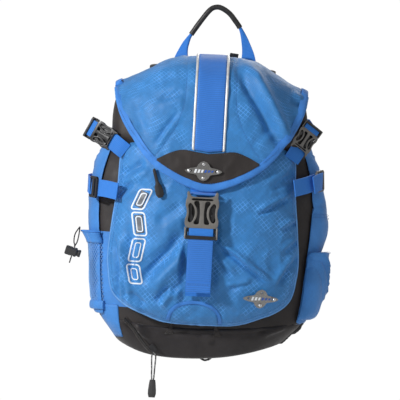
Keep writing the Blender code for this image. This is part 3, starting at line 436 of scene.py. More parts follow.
def metal(name, base, roughness):
    """Bright metal with a fine grain that runs one way."""
    s = Shader(name, roughness=roughness, metallic=1.0)
    stretched = s.add("ShaderNodeMapping")
    stretched.inputs["Scale"].default_value = (0.08, 1.0, 1.0)
    s.link(s.solid(), stretched.inputs[0])
    grain = s.noise(0.8, 3, vector=stretched.outputs[0])
    s.colour(s.mix(s.range(grain, 0.3, 0.7, 0, 1), shade(base, 0.82), shade(base, 1.15)))
    s.rough(s.patches(6, 3, 0.3, 0.7, roughness - 0.08, roughness + 0.16))
    s.bumps((grain, 0.02))
    return s.material


def reflective(name):
    """Silver reflective tape: a fine grid of glass beads on a grey-white ground."""
    s = Shader(name, roughness=0.38, metallic=0.35, coat=0.2)
    u, v = s.cloth()
    cells = s.math("MAXIMUM", s.lines(u, 0.8, 0.2), s.lines(v, 0.8, 0.2))
    ground = s.mix(s.patches(9, 3, 0.35, 0.65), (0.72, 0.72, 0.70), (0.93, 0.93, 0.92))
    s.colour(s.mix(s.times(cells, 0.35), ground, (0.4, 0.4, 0.4)))
    s.bumps((cells, 0.05), (s.noise(4, 2), 0.1))
    return s.material


def rubbery(name, base):
    """Smooth rubber, a little cloudy."""
    s = Shader(name, roughness=0.36, specular=0.5)
    s.colour(s.mix(s.patches(6, 4, 0.35, 0.65), shade(base, 0.7), shade(base, 1.5)))
    s.rough(s.patches(2.5, 4, 0.3, 0.7, 0.28, 0.48))
    s.bumps((s.noise(5, 4), 0.3), (s.noise(0.6, 2), 0.03))
    return s.material


def spacer_mesh(name, base):
    """Padded air mesh: rows of small staggered holes, painted dark inside as shade."""
    s = Shader(name, roughness=0.8, sheen=0.3, specular=0.2)
    u, v = s.cloth()
    shifted = s.math("ADD", u, s.times(s.math("FLOOR", s.math("DIVIDE", v, 2.2)), 1.3))
    across = s.math("SUBTRACT", s.math("FRACT", s.math("DIVIDE", shifted, 2.6)), 0.5)
    up = s.math("SUBTRACT", s.math("FRACT", s.math("DIVIDE", v, 2.2)), 0.5)
    reach = s.math("SQRT", s.math("ADD", s.times(across, across),
                                  s.times(up, up)))
    holes = s.range(reach, 0.20, 0.34, 0, 1)
    # Painted shade: the inside of each hole is painted nearly black.
    s.colour(s.mix(holes, shade(base, 0.25), s.mix(s.patches(30, 3, 0.35, 0.65),
                                                 shade(base, 0.85), shade(base, 1.2))))
    s.bumps((s.noise(10, 3), 0.5), (holes, 0.7))
    return s.material


def badge_metal(name):
    """Pewter plate with a fine speckled grain."""
    s = Shader(name, roughness=0.34, metallic=0.9)
    grain = s.noise(1.1, 4)
    s.colour(s.mix(s.range(grain, 0.3, 0.7, 0, 1), (0.20, 0.195, 0.19), (0.40, 0.39, 0.38)))
    s.rough(s.patches(4, 3, 0.3, 0.7, 0.26, 0.44))
    s.bumps((grain, 0.04))
    return s.material


# ---------------------------------------------------------------- mesh tools

class Skin:
    """The surface of some CAD nodes or pieces, found by rays, in the pack's frame."""

    def __init__(self, *objects):
        points, faces = [], []
        for obj in objects:
            start = len(points)
            points += [to_pack(v.co) for v in obj.data.vertices]
            faces += [[start + i for i in p.vertices] for p in obj.data.polygons]
        self.tree = BVHTree.FromPolygons(points, faces)

    def hit(self, origin, direction):
        return self.tree.ray_cast(Vector(origin), Vector(direction).normalized())[0]

    def front(self, x, z, spare=-120.0):
        found = self.hit((x, -500, z), (0, 1, 0))
        return found.y if found else spare

    def side(self, sign, y, z, spare=150.0):
        found = self.hit((sign * 500, y, z), (-sign, 0, 0))
        return found.x if found else sign * spare


def make(name, mesh, material, body, replaces=()):
    obj = placed(name, mesh)
    if material:
        mesh.materials.append(material)
    if body:
        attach(obj, body)
    if replaces:
        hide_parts(*replaces)
    return obj


def mesh_of(name, points, faces, uvs=None):
    """A smooth-shaded mesh of points in the pack's frame; uvs are millimetres, one for each point."""
    mesh = bpy.data.meshes.new(name)
    mesh.from_pydata([at(*p) for p in points], [], faces)
    if uvs:
        layer = mesh.uv_layers.new(name="cloth")
        for loop in mesh.loops:
            layer.data[loop.index].uv = Vector(uvs[loop.vertex_index]) * MM
    mesh.shade_smooth()
    return mesh


def applied(obj):
    """Turns what the modifiers make into the object's own mesh."""
    graph = bpy.context.evaluated_depsgraph_get()
    mesh = bpy.data.meshes.new_from_object(obj.evaluated_get(graph))
    obj.modifiers.clear()
    obj.data = mesh
    return obj


def grid_faces(rows, columns):
    return [(r * columns + c, r * columns + c + 1, (r + 1) * columns + c + 1, (r + 1) * columns + c)
            for r in range(rows - 1) for c in range(columns - 1)]


def grid_uvs(grid):
    """Distances over the cloth: u along each row from its middle, v down the middle column."""
    half = len(grid[0]) // 2
    uvs = []
    for row, v in zip(grid, lengths([row[half] for row in grid])):
        run = lengths(row)
        uvs += [(u - run[half], v) for u in run]
    return uvs


def grid_normals(grid, towards):
    """The unit normal at each point of a grid, on the side of the vector function towards."""
    normals = []
    for j, row in enumerate(grid):
        line = []
        for i, p in enumerate(row):
            down = grid[min(j + 1, len(grid) - 1)][i] - grid[max(j - 1, 0)][i]
            n = heading(row, i).cross(down)
            n = n.normalized() if n.length > 1e-9 else Vector((0, -1, 0))
            line.append(n if n.dot(towards(p)) > 0 else -n)
        normals.append(line)
    return normals


def relaxed(grid, times):
    """The grid with its facets smoothed away, its border kept."""
    for _ in range(times):
        fresh = [list(row) for row in grid]
        for j in range(1, len(grid) - 1):
            for i in range(1, len(grid[0]) - 1):
                fresh[j][i] = (grid[j][i] * 2 + grid[j - 1][i] + grid[j + 1][i] + grid[j][i - 1]
                               + grid[j][i + 1]) / 6
        grid = fresh
    return grid


def sheet_piece(name, grid, thickness, material, body, towards, replaces=()):
    """A grid as cloth of a thickness, which lies inwards of the grid."""
    columns = len(grid[0])
    faces = grid_faces(len(grid), columns)
    j, i = len(grid) // 2, columns // 2
    a, b, c = grid[j][i], grid[j][i + 1], grid[j + 1][i]
    if (b - a).cross(c - a).dot(towards(a)) < 0:
        faces = [tuple(reversed(f)) for f in faces]
    points = [p for row in grid for p in row]
    obj = make(name, mesh_of(name, points, faces, grid_uvs(grid)), material, body, replaces)
    solid = obj.modifiers.new("cloth", "SOLIDIFY")
    solid.thickness = thickness * MM
    solid.offset = -1
    return applied(obj)


def rings_piece(name, rings, material, body, replaces=(), caps=True):
    """A skin over rings of points, with u round each ring and v along them."""
    count = len(rings[0])
    points, uvs, faces = [], [], []
    run = 0.0
    for r, ring in enumerate(rings):
        if r:
            run += (sum(ring, Vector()) / count - sum(rings[r - 1], Vector()) / count).length
        turn = 0.0
        for i in range(count + 1):
            points.append(ring[i % count])
            uvs.append((turn, run))
            turn += (ring[(i + 1) % count] - ring[i % count]).length
    for r in range(len(rings) - 1):
        for i in range(count):
            a = r * (count + 1) + i
            faces.append((a, a + 1, a + count + 2, a + count + 1))
    mesh = mesh_of(name, points, faces, uvs)
    obj = make(name, mesh, material, body, replaces)
    work = bmesh.new()
    work.from_mesh(mesh)
    bmesh.ops.remove_doubles(work, verts=work.verts, dist=1e-7)
    if caps:
        bmesh.ops.holes_fill(work, edges=work.edges, sides=0)
    bmesh.ops.recalc_face_normals(work, faces=work.faces)
    work.to_mesh(mesh)
    work.free()
    mesh.shade_smooth()
    mesh.set_sharp_from_angle(angle=math.radians(50))
    return obj


def oval(centre, across, out, half_width, half_thick, corners=16, square=2.0):
    """A ring of points round a centre: an ellipse at 2.0, and squarer above that."""
    ring = []
    for i in range(corners):
        angle = 2 * math.pi * (i + 0.5) / corners
        c, s = math.cos(angle), math.sin(angle)
        ring.append(Vector(centre) + across * half_width * math.copysign(abs(c) ** (2 / square), c)
                    + out * half_thick * math.copysign(abs(s) ** (2 / square), s))
    return ring


def frames_along(path, across):
    """(point, sideways, outwards) along a path, whose sideways direction is given at each point."""
    found = []
    for i, p in enumerate(path):
        ahead = heading(path, i).normalized()
        side = Vector(across[i])
        side = (side - ahead * side.dot(ahead)).normalized()
        found.append((p, side, ahead.cross(side)))
    return found


WEB_CORNERS = 20  # across each face of a strap


def ribbon(name, path, across, width, thick, material, body, replaces=(), fine=4,
           bow=0.0):
    """Webbing along a smooth path: slightly full edges, and bowed by bow millimetres."""
    coarse = [Vector(p) for p in path]
    sides = across if isinstance(across, list) else [across] * len(coarse)
    line = spline(coarse, fine)
    turned = spline(sides, fine)
    shares = [-1 + 2 * k / (WEB_CORNERS - 1) for k in range(WEB_CORNERS)]
    section = [(t, thick / 2 * (1 - 0.35 * abs(t) ** 14) + bow * (1 - t * t)) for t in shares]
    rings = []
    for p, side, out in frames_along(line, turned):
        loop = [p + side * (width / 2 * t) + out * h for t, h in section]
        loop += [p + side * (width / 2 * t) + out * (h - thick) for t, h in reversed(section)]
        rings.append(loop)
    return rings_piece(name, rings, material, body, replaces)


def tube(name, path, radius, material, body, replaces=(), sides=10):
    """A round tube on a path, carried along without twisting."""
    line = [Vector(p) for p in path]
    ahead = (line[1] - line[0]).normalized()
    side = ahead.orthogonal().normalized()
    rings = []
    for i, p in enumerate(line):
        ahead = heading(line, i).normalized()
        side = (side - ahead * side.dot(ahead)).normalized()
        rings.append(oval(p, side, ahead.cross(side), radius, radius, sides))
    return rings_piece(name, rings, material, body, replaces)


def mesh_from(work, name):
    mesh = bpy.data.meshes.new(name)
    work.to_mesh(mesh)
    work.free()
    return mesh


def beads(name, line, first, pitch, sizes, out, material, body, corners=5, turn=0.0):
    """Small rounded bars at a pitch along a line; sizes are along it, across it and out of it."""
    work = bmesh.new()
    run, due = 0.0, first
    for a, b in zip(line, line[1:]):
        step = (b - a).length
        while step > 1e-6 and run + step >= due:
            ahead = (b - a).normalized()
            side = ahead.cross(Vector(out)).normalized()
            basis = Matrix((ahead, side, ahead.cross(side))).transposed().to_4x4()
            basis.translation = a.lerp(b, (due - run) / step) - ORIGIN
            shape = Matrix.Scale(MM, 4) @ basis @ Matrix.Diagonal((*sizes, 1))
            bmesh.ops.create_uvsphere(work, u_segments=6, v_segments=corners, radius=1.0,
                                      matrix=shape @ Matrix.Rotation(turn, 4, "Y"))
            due += pitch
        run += step
    mesh = mesh_from(work, name)
    mesh.shade_smooth()
    return make(name, mesh, material, body, ())


def stitches(name, path, body, material, length=2.6, pitch=3.6, size=0.5, out=(0, -1, 0)):
    """A row of thread stitches that lie on the path."""
    return beads(name, [Vector(p) for p in path], pitch / 2, pitch, (length / 2, size, size * 0.7), out,
                 material, body, turn=math.radians(90))


# ---------------------------------------------------------------- soft pieces

CREASE_DEPTH = 1.75  # every crease is this many times as deep as its table says


def crease(p, axis, a, b, width, depth, lean=0.5):
    """A valley from a to b in the plane of axis and z, with a ridge on its left-hand side."""
    here = Vector((p[axis], p.z))
    start, end = Vector(a), Vector(b)
    ahead = end - start
    length = ahead.length
    ahead /= length
    t = (here - start).dot(ahead) / length
    if not -0.15 < t < 1.15:
        return 0.0
    wander = 2.0 * noise.noise(Vector((t * length * 0.03, start.x * 0.1, depth)))
    d = ahead.x * (here.y - start.y) - ahead.y * (here.x - start.x) + wander
    fade = smooth((t + 0.15) / 0.35) * smooth((1.15 - t) / 0.35)
    valley = -math.exp(-(d / width) ** 2)
    ridge = lean * math.exp(-((d - 1.7 * width) / (1.2 * width)) ** 2)
    return depth * fade * (valley + ridge)


def creased(p, axis, creases):
    """The sum of some creases at a point."""
    return sum(crease(p, axis, a, b, width, depth * CREASE_DEPTH, lean)
               for a, b, width, depth, lean in creases)


def ripple(p, size, seed=0.0, stretch=(1, 1, 1)):
    """Smooth noise between about -1 and 1 whose waves are size millimetres apart."""
    q = Vector((p.x * stretch[0], p.y * stretch[1], p.z * stretch[2])) / size
    return noise.noise(q + Vector((seed, seed * 0.7, -seed)))


def sharp_ripple(p, size, seed=0.0, stretch=(1, 1, 1)):
    """Noise with narrow valleys between broad swells, as crumpled cloth has."""
    return 0.5 - abs(ripple(p, size, seed, stretch)) * 2.2


def push(obj, amount):
    """Moves each point along its normal by amount(point, normal) millimetres."""
    mesh = obj.data
    normals = [v.normal.copy() for v in mesh.vertices]
    for v, n in zip(mesh.vertices, normals):
        v.co += n * amount(to_pack(v.co), n) * MM
    mesh.update()


def lay_cloth(obj, turn=0.0):
    """Gives each face cloth coordinates from the side of the pack that it faces."""
    mesh = obj.data
    layer = mesh.uv_layers.get("cloth") or mesh.uv_layers.new(name="cloth")
    c, s = math.cos(turn), math.sin(turn)
    for face in mesh.polygons:
        n = face.normal
        sizes = (abs(n.x), abs(n.y) * 1.15, abs(n.z))
        main = sizes.index(max(sizes))
        for index in face.loop_indices:
            p = mesh.vertices[mesh.loops[index].vertex_index].co
            a, b = ((p.y, p.z), (p.x, p.z), (p.x, p.y))[main]
            layer.data[index].uv = (a * c - b * s, a * s + b * c)
    mesh.shade_smooth()


def copied(name, nodes, material, body):
    """A new piece with the shapes of some CAD nodes, its triangles joined back to quads."""
    work = bmesh.new()
    for n in nodes:
        work.from_mesh(NODES[n].data)
    bmesh.ops.remove_doubles(work, verts=work.verts, dist=1e-5)
    bmesh.ops.join_triangles(work, faces=work.faces, angle_face_threshold=math.radians(30),
                             angle_shape_threshold=math.radians(60))
    return make(name, mesh_from(work, name), material, body, nodes)


def subdivide(obj, levels):
    sub = obj.modifiers.new("subdivision", "SUBSURF")
    sub.levels = sub.render_levels = levels


def even_out(obj, times):
    even = obj.modifiers.new("smooth", "SMOOTH")
    even.factor = 0.5
    even.iterations = times


def softened(name, node, material, levels, amount, smoothing=2):
    """A CAD shell of the pack as cloth: subdivided, smoothed and then wrinkled by amount."""
    obj = copied(name, (node,), material, "pack")
    subdivide(obj, levels)
    even_out(obj, smoothing)
    push(applied(obj), amount)
    lay_cloth(obj)
    return obj


CLOTH_FRAMES = 20
CLOTH_PRESSURE = 4.0
CLOTH_TENSION = 15.0


def simulated(obj, cap, pinned):
    """Blows the closed cloth up gently by simulation; no point moves further than cap."""
    rest = [v.co.copy() for v in obj.data.vertices]
    group = obj.vertex_groups.new(name="sewn")
    for v in obj.data.vertices:
        hold = pinned(to_pack(v.co))
        if hold > 0:
            group.add([v.index], hold, "REPLACE")
    cloth = obj.modifiers.new("cloth", "CLOTH")
    settings = cloth.settings
    settings.quality = 5
    settings.mass = 0.25
    settings.tension_stiffness = settings.compression_stiffness = CLOTH_TENSION
    settings.shear_stiffness = 5.0
    settings.bending_stiffness = 0.3
    settings.use_pressure = True
    settings.uniform_pressure_force = CLOTH_PRESSURE
    settings.effector_weights.gravity = 0.0
    settings.vertex_group_mass = "sewn"
    cloth.collision_settings.use_collision = False
    cloth.point_cache.frame_start, cloth.point_cache.frame_end = 1, CLOTH_FRAMES
    scene = bpy.context.scene
    for number in range(1, CLOTH_FRAMES + 1):
        scene.frame_set(number)
        bpy.context.view_layer.update()
    applied(obj)
    scene.frame_set(1)
    for v, start in zip(obj.data.vertices, rest):
        moved = v.co - start
        if moved.length > cap * MM:
            v.co = start + moved.normalized() * cap * MM
    obj.vertex_groups.clear()


def inflated(name, node, material, body, amount, voxel=4.0, cap=3.0, pinned=lambda p: 0.0,
             shrink_by=1.0, smoothing=6, turn=0.0):
    """A padded piece: a CAD solid made slightly smaller, remeshed and blown up as cloth."""
    obj = copied(name, (node,), material, body)
    remesh = obj.modifiers.new("remesh", "REMESH")
    remesh.mode = "VOXEL"
    remesh.voxel_size = voxel * MM
    even_out(obj, smoothing)
    push(applied(obj), lambda p, n: -shrink_by)
    simulated(obj, cap, pinned)
    subdivide(obj, 1)
    push(applied(obj), amount)
    lay_cloth(obj, turn)
    return obj


# ---------------------------------------------------------------- looks used on the pack

LOOKS = {}


def make_looks():
    LOOKS.update(
        ripstop=ripstop("blue_ripstop", BLUE),
        nylon=plain_weave("blue_nylon", (0.050, 0.225, 0.600), roughness=0.55, crinkle=0.5),
        binding=plain_weave("blue_binding", (0.042, 0.215, 0.640), pitch=0.7, crinkle=0.25),
        webbing=webbing("blue_webbing", WEB_BLUE),
        stripe=webbing("blue_stripe_webbing", (0.033, 0.205, 0.700), rib=3.0),
        black=plain_weave("black_polyester", BLACK, pitch=1.2, roughness=0.6, cloud=0.25, crinkle=0.4),
        leaf=plain_weave("black_coated_cloth", (0.024, 0.019, 0.018), pitch=1.0, roughness=0.55,
                         cloud=0.25, crinkle=0.15),
        black_webbing=webbing("black_webbing", (0.018, 0.017, 0.018), rib=2.4),
        mesh=plain_weave("blue_open_mesh", (0.15, 0.33, 0.66), pitch=0.6, crinkle=0.2),
        air_mesh=spacer_mesh("black_air_mesh", (0.030, 0.028, 0.030)),
        grey=moulded("grey_acetal", (0.150, 0.142, 0.132), roughness=0.36),
        dark=moulded("black_acetal", (0.016, 0.016, 0.018), roughness=0.34),
        grip=moulded("grey_black_grip", (0.034, 0.033, 0.034), roughness=0.55),
        rubber=rubbery("black_rubber_tube", (0.022, 0.021, 0.021)),
        silver=reflective("silver_reflective_tape"),
        thread=plain_weave("blue_thread", (0.03, 0.14, 0.42), pitch=0.5),
        black_thread=plain_weave("black_thread", (0.03, 0.028, 0.03), pitch=0.5),
        plate=badge_metal("badge_plate"),
        enamel=moulded("badge_enamel", (0.75, 0.78, 0.82), roughness=0.3),
        steel=metal("bright_steel", (0.72, 0.72, 0.73), roughness=0.22),
        cord=braided("speckled_cord", (0.012, 0.012, 0.013), (0.42, 0.42, 0.42)),
        dark_cord=braided("dark_cord", (0.014, 0.013, 0.013), (0.10, 0.09, 0.085)),
        print_dark=moulded("dark_print", (0.10, 0.11, 0.13), roughness=0.45),
        print_pale=moulded("pale_print", (0.72, 0.78, 0.86), roughness=0.5),
        white_sheet=moulded("white_polyethylene", (0.6, 0.6, 0.58), roughness=0.5),
        piping=plain_weave("pale_blue_piping", (0.12, 0.33, 0.70), pitch=0.8, crinkle=0.1),
        enamel_blue=moulded("blue_enamel", (0.03, 0.10, 0.42), roughness=0.3),
    )


# ---------------------------------------------------------------- the lid

STRAP_X = -5  # the front strap's middle line
WIDE_WEB, NARROW_WEB = 38, 25
LID_CORE = Vector((0, -60, 250))  # the lid bends round the line through this point along x
LID_SIDE = 143.8
LID_COLUMNS, LID_ROWS = 111, 84
# valleys on the lid's front: from (x, z), to (x, z), width, depth, ridge
LID_CREASES = [((43, 432), (108, 328), 8.0, 6.0, 1.25), ((-50, 366), (-80, 322), 3.2, 2.6, 0.8),
               ((-44, 398), (-78, 386), 5.0, 2.0, 0.5), ((-84, 408), (-60, 428), 6.0, 2.2, 0.4),
               ((118, 398), (140, 388), 5.0, 2.5, 0.6), ((88, 352), (66, 326), 6.0, 1.4, 0.5),
               ((-112, 382), (-96, 330), 9.0, 1.8, 0.4)]
SEAMS = [[(37, 456), (37, 430), (36.5, 400), (40, 372), (50, 345), (64, 322), (80, 301)],
         [(-38, 456), (-38, 430), (-38.5, 400), (-42, 372), (-52, 345), (-66, 322), (-80, 301)]]
STRIPE_HEAD = 0.015  # the stripe starts at this share of the lid's run
STRIPE_FOOT = 311  # and ends at this height
STRIPE_ROWS = 70


class Lid:
    """The lid's surface as a grid: columns across the pack, rows from the hinge to the hem."""

    def __init__(self):
        skin = Skin(NODES["lid"], NODES["lid_binding"])
        columns = []
        for i in range(LID_COLUMNS):
            columns.append(self.column(skin, LID_SIDE * (-1 + 2 * i / (LID_COLUMNS - 1))))
        grid = [[columns[i][j] for i in range(LID_COLUMNS)] for j in range(LID_ROWS)]
        self.bare = relaxed(grid, 10)
        self.normals = grid_normals(self.bare, self.outwards)
        self.grid = [[p + n * self.swell(p) for p, n in zip(row, line)]
                     for row, line in zip(self.bare, self.normals)]
        self.normals = grid_normals(self.grid, self.outwards)

    @staticmethod
    def outwards(p):
        return Vector((0, p.y - LID_CORE.y, p.z - LID_CORE.z))

    @staticmethod
    def column(skin, x):
        """Points down the lid at x, evenly spaced from the rear edge to the hem."""
        core = Vector((x, LID_CORE.y, LID_CORE.z))
        found = []
        for k in range(421):
            angle = math.radians(70 + 0.27 * k)
            ray = Vector((0, -math.sin(angle - math.pi / 2), math.cos(angle - math.pi / 2)))
            hit = skin.hit(core + ray * 400, -ray)
            if hit and (hit - core).length > 60:
                found.append(hit)
        return evenly(found, LID_ROWS)

    @staticmethod
    def swell(p):
        """How far the cloth stands off the bare surface: folds, creases and the seams' grooves."""
        edge = smooth((LID_SIDE - abs(p.x)) / 14)
        front = smooth((-p.y - 40) / 60)
        rise = 1.6 * ripple(p, 60, 3.0) + 0.9 * sharp_ripple(p, 26, 8.0, (1, 0.4, 1))
        rise += 0.35 * ripple(p, 9, 5.0)
        total = rise * (0.4 + 0.6 * front) * (0.25 if abs(p.x) < 26 else 1.0)
        total += front * creased(p, 0, LID_CREASES)
        for seam in SEAMS:
            off = abs(p.x - along(sorted((z, x) for x, z in seam), p.z))
            total -= 1.1 * math.exp(-(off / 1.6) ** 2)
        return total * edge

    def at(self, x, s, out=0.0):
        """The point at x, a share s of the way from the rear edge to the hem, out from the cloth."""
        i = clamp((x / LID_SIDE + 1) / 2) * (LID_COLUMNS - 1)
        j = clamp(s) * (LID_ROWS - 1)
        i0, j0 = min(int(i), LID_COLUMNS - 2), min(int(j), LID_ROWS - 2)
        u, v = i - i0, j - j0

        def read(table):
            return (table[j0][i0].lerp(table[j0][i0 + 1], u)).lerp(
                table[j0 + 1][i0].lerp(table[j0 + 1][i0 + 1], u), v)
        return read(self.grid) + read(self.normals).normalized() * out

    def share(self, x, z):
        """How far down the lid the height z is reached, on its front."""
        low, high = 0.35, 1.0
        for _ in range(18):
            middle = (low + high) / 2
            if self.at(x, middle).z > z:
                low = middle
            else:
                high = middle
        return low

    def front(self, x, z, out=0.0):
        return self.at(x, self.share(x, z), out)


def make_lid(lid):
    """The lid's cloth, binding, stitches, stripe, leaf and buckle tab."""
    sheet_piece("lid_cloth", lid.grid, 2.4, LOOKS["ripstop"], "lid", lid.outwards, ("lid",))

    edge = [(-LID_SIDE, s / 40) for s in range(6, 40)]
    edge += [(LID_SIDE * (-1 + k / 60), 1.0) for k in range(121)]
    edge += [(LID_SIDE, s / 40) for s in range(39, 5, -1)]
    points = [lid.at(x, s) for x, s in edge]
    frames = []
    for k, ((x, s), p) in enumerate(zip(edge, points)):
        ahead = (points[min(k + 2, len(points) - 1)] - points[max(k - 2, 0)]).normalized()
        inner = lid.at(x * 0.93, s - 0.03 * (s > 0.97))
        normal = lid.normals[min(int(s * (LID_ROWS - 1)), LID_ROWS - 3)][
            min(max(int((x / LID_SIDE + 1) / 2 * (LID_COLUMNS - 1)), 2), LID_COLUMNS - 3)]
        inward = ahead.cross(normal)
        inward = inward if inward.dot(inner - p) > 0 else -inward
        inward.normalize()
        up = inward.cross(ahead)
        frames.append((inward, up if up.dot(normal) > 0 else -up))
    rings = []
    for k, p in enumerate(points):
        near = frames[max(k - 3, 2):k + 4]
        inward = sum((f[0] for f in near), Vector()).normalized()
        up = sum((f[1] for f in near), Vector()).normalized()
        # the binding's section, as distances inwards from the hem and out of the cloth
        puff = 0.25 * ripple(p, 7, 2.0)
        profile = [(10.2, 0.5), (10.0, 1.3), (7, 1.6 + puff), (3, 1.5 + puff), (0, 1.1), (-1.2, 0.1),
                   (-1.6, -1.2), (-1.2, -2.5), (0, -3.4), (3, -3.8), (7, -3.8), (10, -3.4), (10.2, -2.6),
                   (5, -2.4), (0.3, -1.4), (5, 0.2)]
        rings.append([p + inward * a + up * b for a, b in profile])
    rings_piece("lid_bound_hem", rings, LOOKS["binding"], "lid", ("lid_binding",))
    row = [lid.at(x * 0.944, s - 0.033 * (abs(x) < LID_SIDE - 1), 1.75) for x, s in edge[30:-30]]
    stitches("lid_hem_stitches", row, "lid", LOOKS["thread"])

    low = lid.share(0, STRIPE_FOOT)

    def down(foot):
        """Shares of the lid's run from its rear edge to a foot."""
        return [STRIPE_HEAD + (foot - STRIPE_HEAD) * j / (STRIPE_ROWS - 1) for j in range(STRIPE_ROWS)]

    grid = [[lid.at(21 * (-1 + k / 8), s, 2.5 + 0.5 * (1 - (k / 8 - 1) ** 6)
                    + 0.25 * ripple(lid.at(0, s), 24)) for k in range(17)] for s in down(low)]
    sheet_piece("lid_stripe_webbing", grid, 1.6, LOOKS["stripe"], "lid", lid.outwards,
                ("lid_stripe",))
    for name, side in SIDES:
        bead = 22.6 + (0.6 if side < 0 else 0)
        grid = [[lid.at(side * (bead + 1.9 * a), s, 2.2 + 1.1 * (1 - a * a))
                 for a in (-1, -0.8, -0.5, 0, 0.5, 0.8, 1)] for s in down(low + 0.004)]
        sheet_piece(f"lid_piping_{name}", grid, 1.4, LOOKS["silver"], "lid", lid.outwards, ())

    make_leaf(lid)
    for name, seam in zip(("right", "left"), SEAMS):
        line = [lid.front(p.x, p.y, 0.35) for p in spline([(x, z, 0) for x, z in seam[1:]], 8)]
        stitches(f"lid_seam_stitches_{name}", line, "lid", LOOKS["thread"], length=2.2, pitch=3.2,
                 size=0.35)

    path = [lid.front(STRAP_X, 266, -1.0), lid.front(STRAP_X, 258, -1.5) + Vector((0, 2.2, 0)),
            Vector((STRAP_X, -191.6, 251.6)), Vector((STRAP_X, -196.0, 249.2)),
            Vector((STRAP_X, -200.5, 247.4))]
    ribbon("lid_buckle_tab", path, ACROSS, WIDE_WEB, 1.5, LOOKS["webbing"], "lid", ("lid_tab",))


def make_leaf(lid):
    """The black leaf that carries the badge, and the row of stitches along its top."""
    top = [(0, 308.4), (18, 310.5), (39, 312.8), (58, 307), (76, 297.5)]
    outline = [(p.x, p.y) for p in spline([(x, z, 0) for x, z in top], 6)]
    columns, rows, foot = 77, 22, 0.967
    grid = [[] for _ in range(rows)]
    for i in range(columns):
        x = top[-1][0] * (-1 + 2 * i / (columns - 1))
        head = min(lid.share(x, along(outline, abs(x))), foot - 0.004)
        for j, line in enumerate(grid):
            s = head + (foot - head) * j / (rows - 1)
            line.append(lid.at(x, s, 2.0 + 0.35 * ripple(lid.at(x, s), 30, 1.0)))
    sheet_piece("lid_leaf_panel", grid, 1.5, LOOKS["leaf"], "lid", lid.outwards, ("lid_panel",))
    stitches("lid_leaf_stitches", [p + Vector((0, -0.15, -0.6)) for p in grid[1]], "lid",
             LOOKS["black_thread"], length=2.2, pitch=3.2, size=0.35)


# ---------------------------------------------------------------- the front pocket

POCKET_HALF = [(0, 50), (54, 52), (90, 64), (117, 76), (137, 96), (144, 130), (145.5, 157),
               (140.4, 213), (135.5, 255), (134, 300), (128, 321)]
POCKET_MIDDLE = Vector((0, 190))
POCKET_CREASES = [((-30, 186), (-88, 116), 11.0, 6.5, 0.9), ((22, 172), (97, 122), 3.6, 3.2, 1.3),
                  ((18, 152), (44, 128), 3.6, 2.2, 0.8), ((80, 224), (124, 247), 3.6, 2.6, 0.9),
                  ((-96, 292), (-128, 268), 7.0, 3.4, 0.6), ((-112, 262), (-132, 240), 5.0, 2.6, 0.6),
                  ((-134, 172), (-124, 88), 5.0, 5.0, 0.9), ((-112, 190), (-104, 112), 5.5, 3.4, 0.7),
                  ((-123, 150), (-114, 84), 4.0, 3.0, 0.8),
                  ((-50, 108), (-66, 84), 5.0, 3.2, 0.9), ((-24, 118), (-46, 100), 5.0, 2.2, 0.6),
                  ((118, 200), (140, 214), 4.0, 2.2, 0.8), ((122, 168), (142, 186), 4.0, 2.4, 0.8),
                  ((116, 118), (139, 160), 4.5, 3.0, 0.8), ((40, 108), (74, 116), 4.0, 2.0, 0.7),
                  ((100, 262), (130, 288), 7.0, 2.6, 0.5), ((-84, 78), (-108, 96), 5.0, 2.6, 0.7),
                  ((-60, 262), (-86, 236), 7.0, 1.8, 0.4), ((-36, 232), (-70, 206), 8.0, 2.0, 0.4)]


def pocket_edge(p):
    """Roughly how far inside the pocket's outline a point is, in millimetres."""
    half = along(sorted((z, x) for x, z in POCKET_HALF), p.z)
    return min(half - abs(p.x), p.z - along(POCKET_HALF[:5], abs(p.x)))


def pocket_swell(p, n):
    """The full pocket's cloth: swells, folds and creases, held down by what lies on it."""
    if n.y > 0.3 or p.y > -136:
        return 0.0
    inside = pocket_edge(p)
    total = 1.6 * ripple(p, 52, 11.0) + 1.5 * sharp_ripple(p, 30, 4.0) + 0.3 * ripple(p, 8, 7.0)
    total *= smooth(inside / 22) * (0.35 if abs(p.x - STRAP_X) < 24 and p.z < 200 else 1.0)
    total += creased(p, 0, POCKET_CREASES) * smooth(inside / 6)
    # the cloth is gathered a little where it meets the seam
    around = math.atan2(p.z - 180, p.x) * 150
    total += 1.1 * math.exp(-((inside - 7) / 8) ** 2) * noise.noise(Vector((around / 8.5, 3.3, 0)))
    # the strap and the sliding half of the buckle hold the cloth down
    held = smooth((32 - abs(p.x - STRAP_X)) / 10) * smooth((p.z - 76) / 20) * smooth((216 - p.z) / 16)
    total = total * (1 - 0.8 * held) - 3.5 * held
    # nothing pushes into the plate at the lower right
    plate = math.hypot((p.x - 88.4) / 34, (p.z - 97.5) / 21)
    return total * smooth((plate - 0.85) / 0.5)


def make_front_pocket():
    """The full pocket with its piping and stitches; gives back its surface."""
    pocket = inflated("front_pocket_cloth", "front_pocket", LOOKS["ripstop"], "pack",
                      pocket_swell, cap=5.0, pinned=lambda p: 1.0 if p.y > -140 else 0.0,
                      shrink_by=1.2, smoothing=8, turn=0.06)
    skin = Skin(pocket)
    half = [(x, z, 0) for x, z in POCKET_HALF]
    ring = spline([(-x, z, 0) for x, z, _ in reversed(half)] + half[1:], 8)

    def inside(share, out):
        """The pocket's outline on the cloth, drawn in towards its middle."""
        flat = [POCKET_MIDDLE + (Vector((p.x, p.y)) - POCKET_MIDDLE) * share for p in ring]
        return [Vector((q.x, skin.front(q.x, q.y) - out, q.y)) for q in flat]

    seam = inside(0.976, 0.6)
    seam[1:-1] = [(a + b * 2 + c) / 4 for a, b, c in zip(seam, seam[1:], seam[2:])]
    tube("front_pocket_piping", seam, 1.35, LOOKS["piping"], "pack", (), sides=8)
    stitches("front_pocket_stitches", inside(0.945, 0.15), "pack", LOOKS["thread"])
    return skin


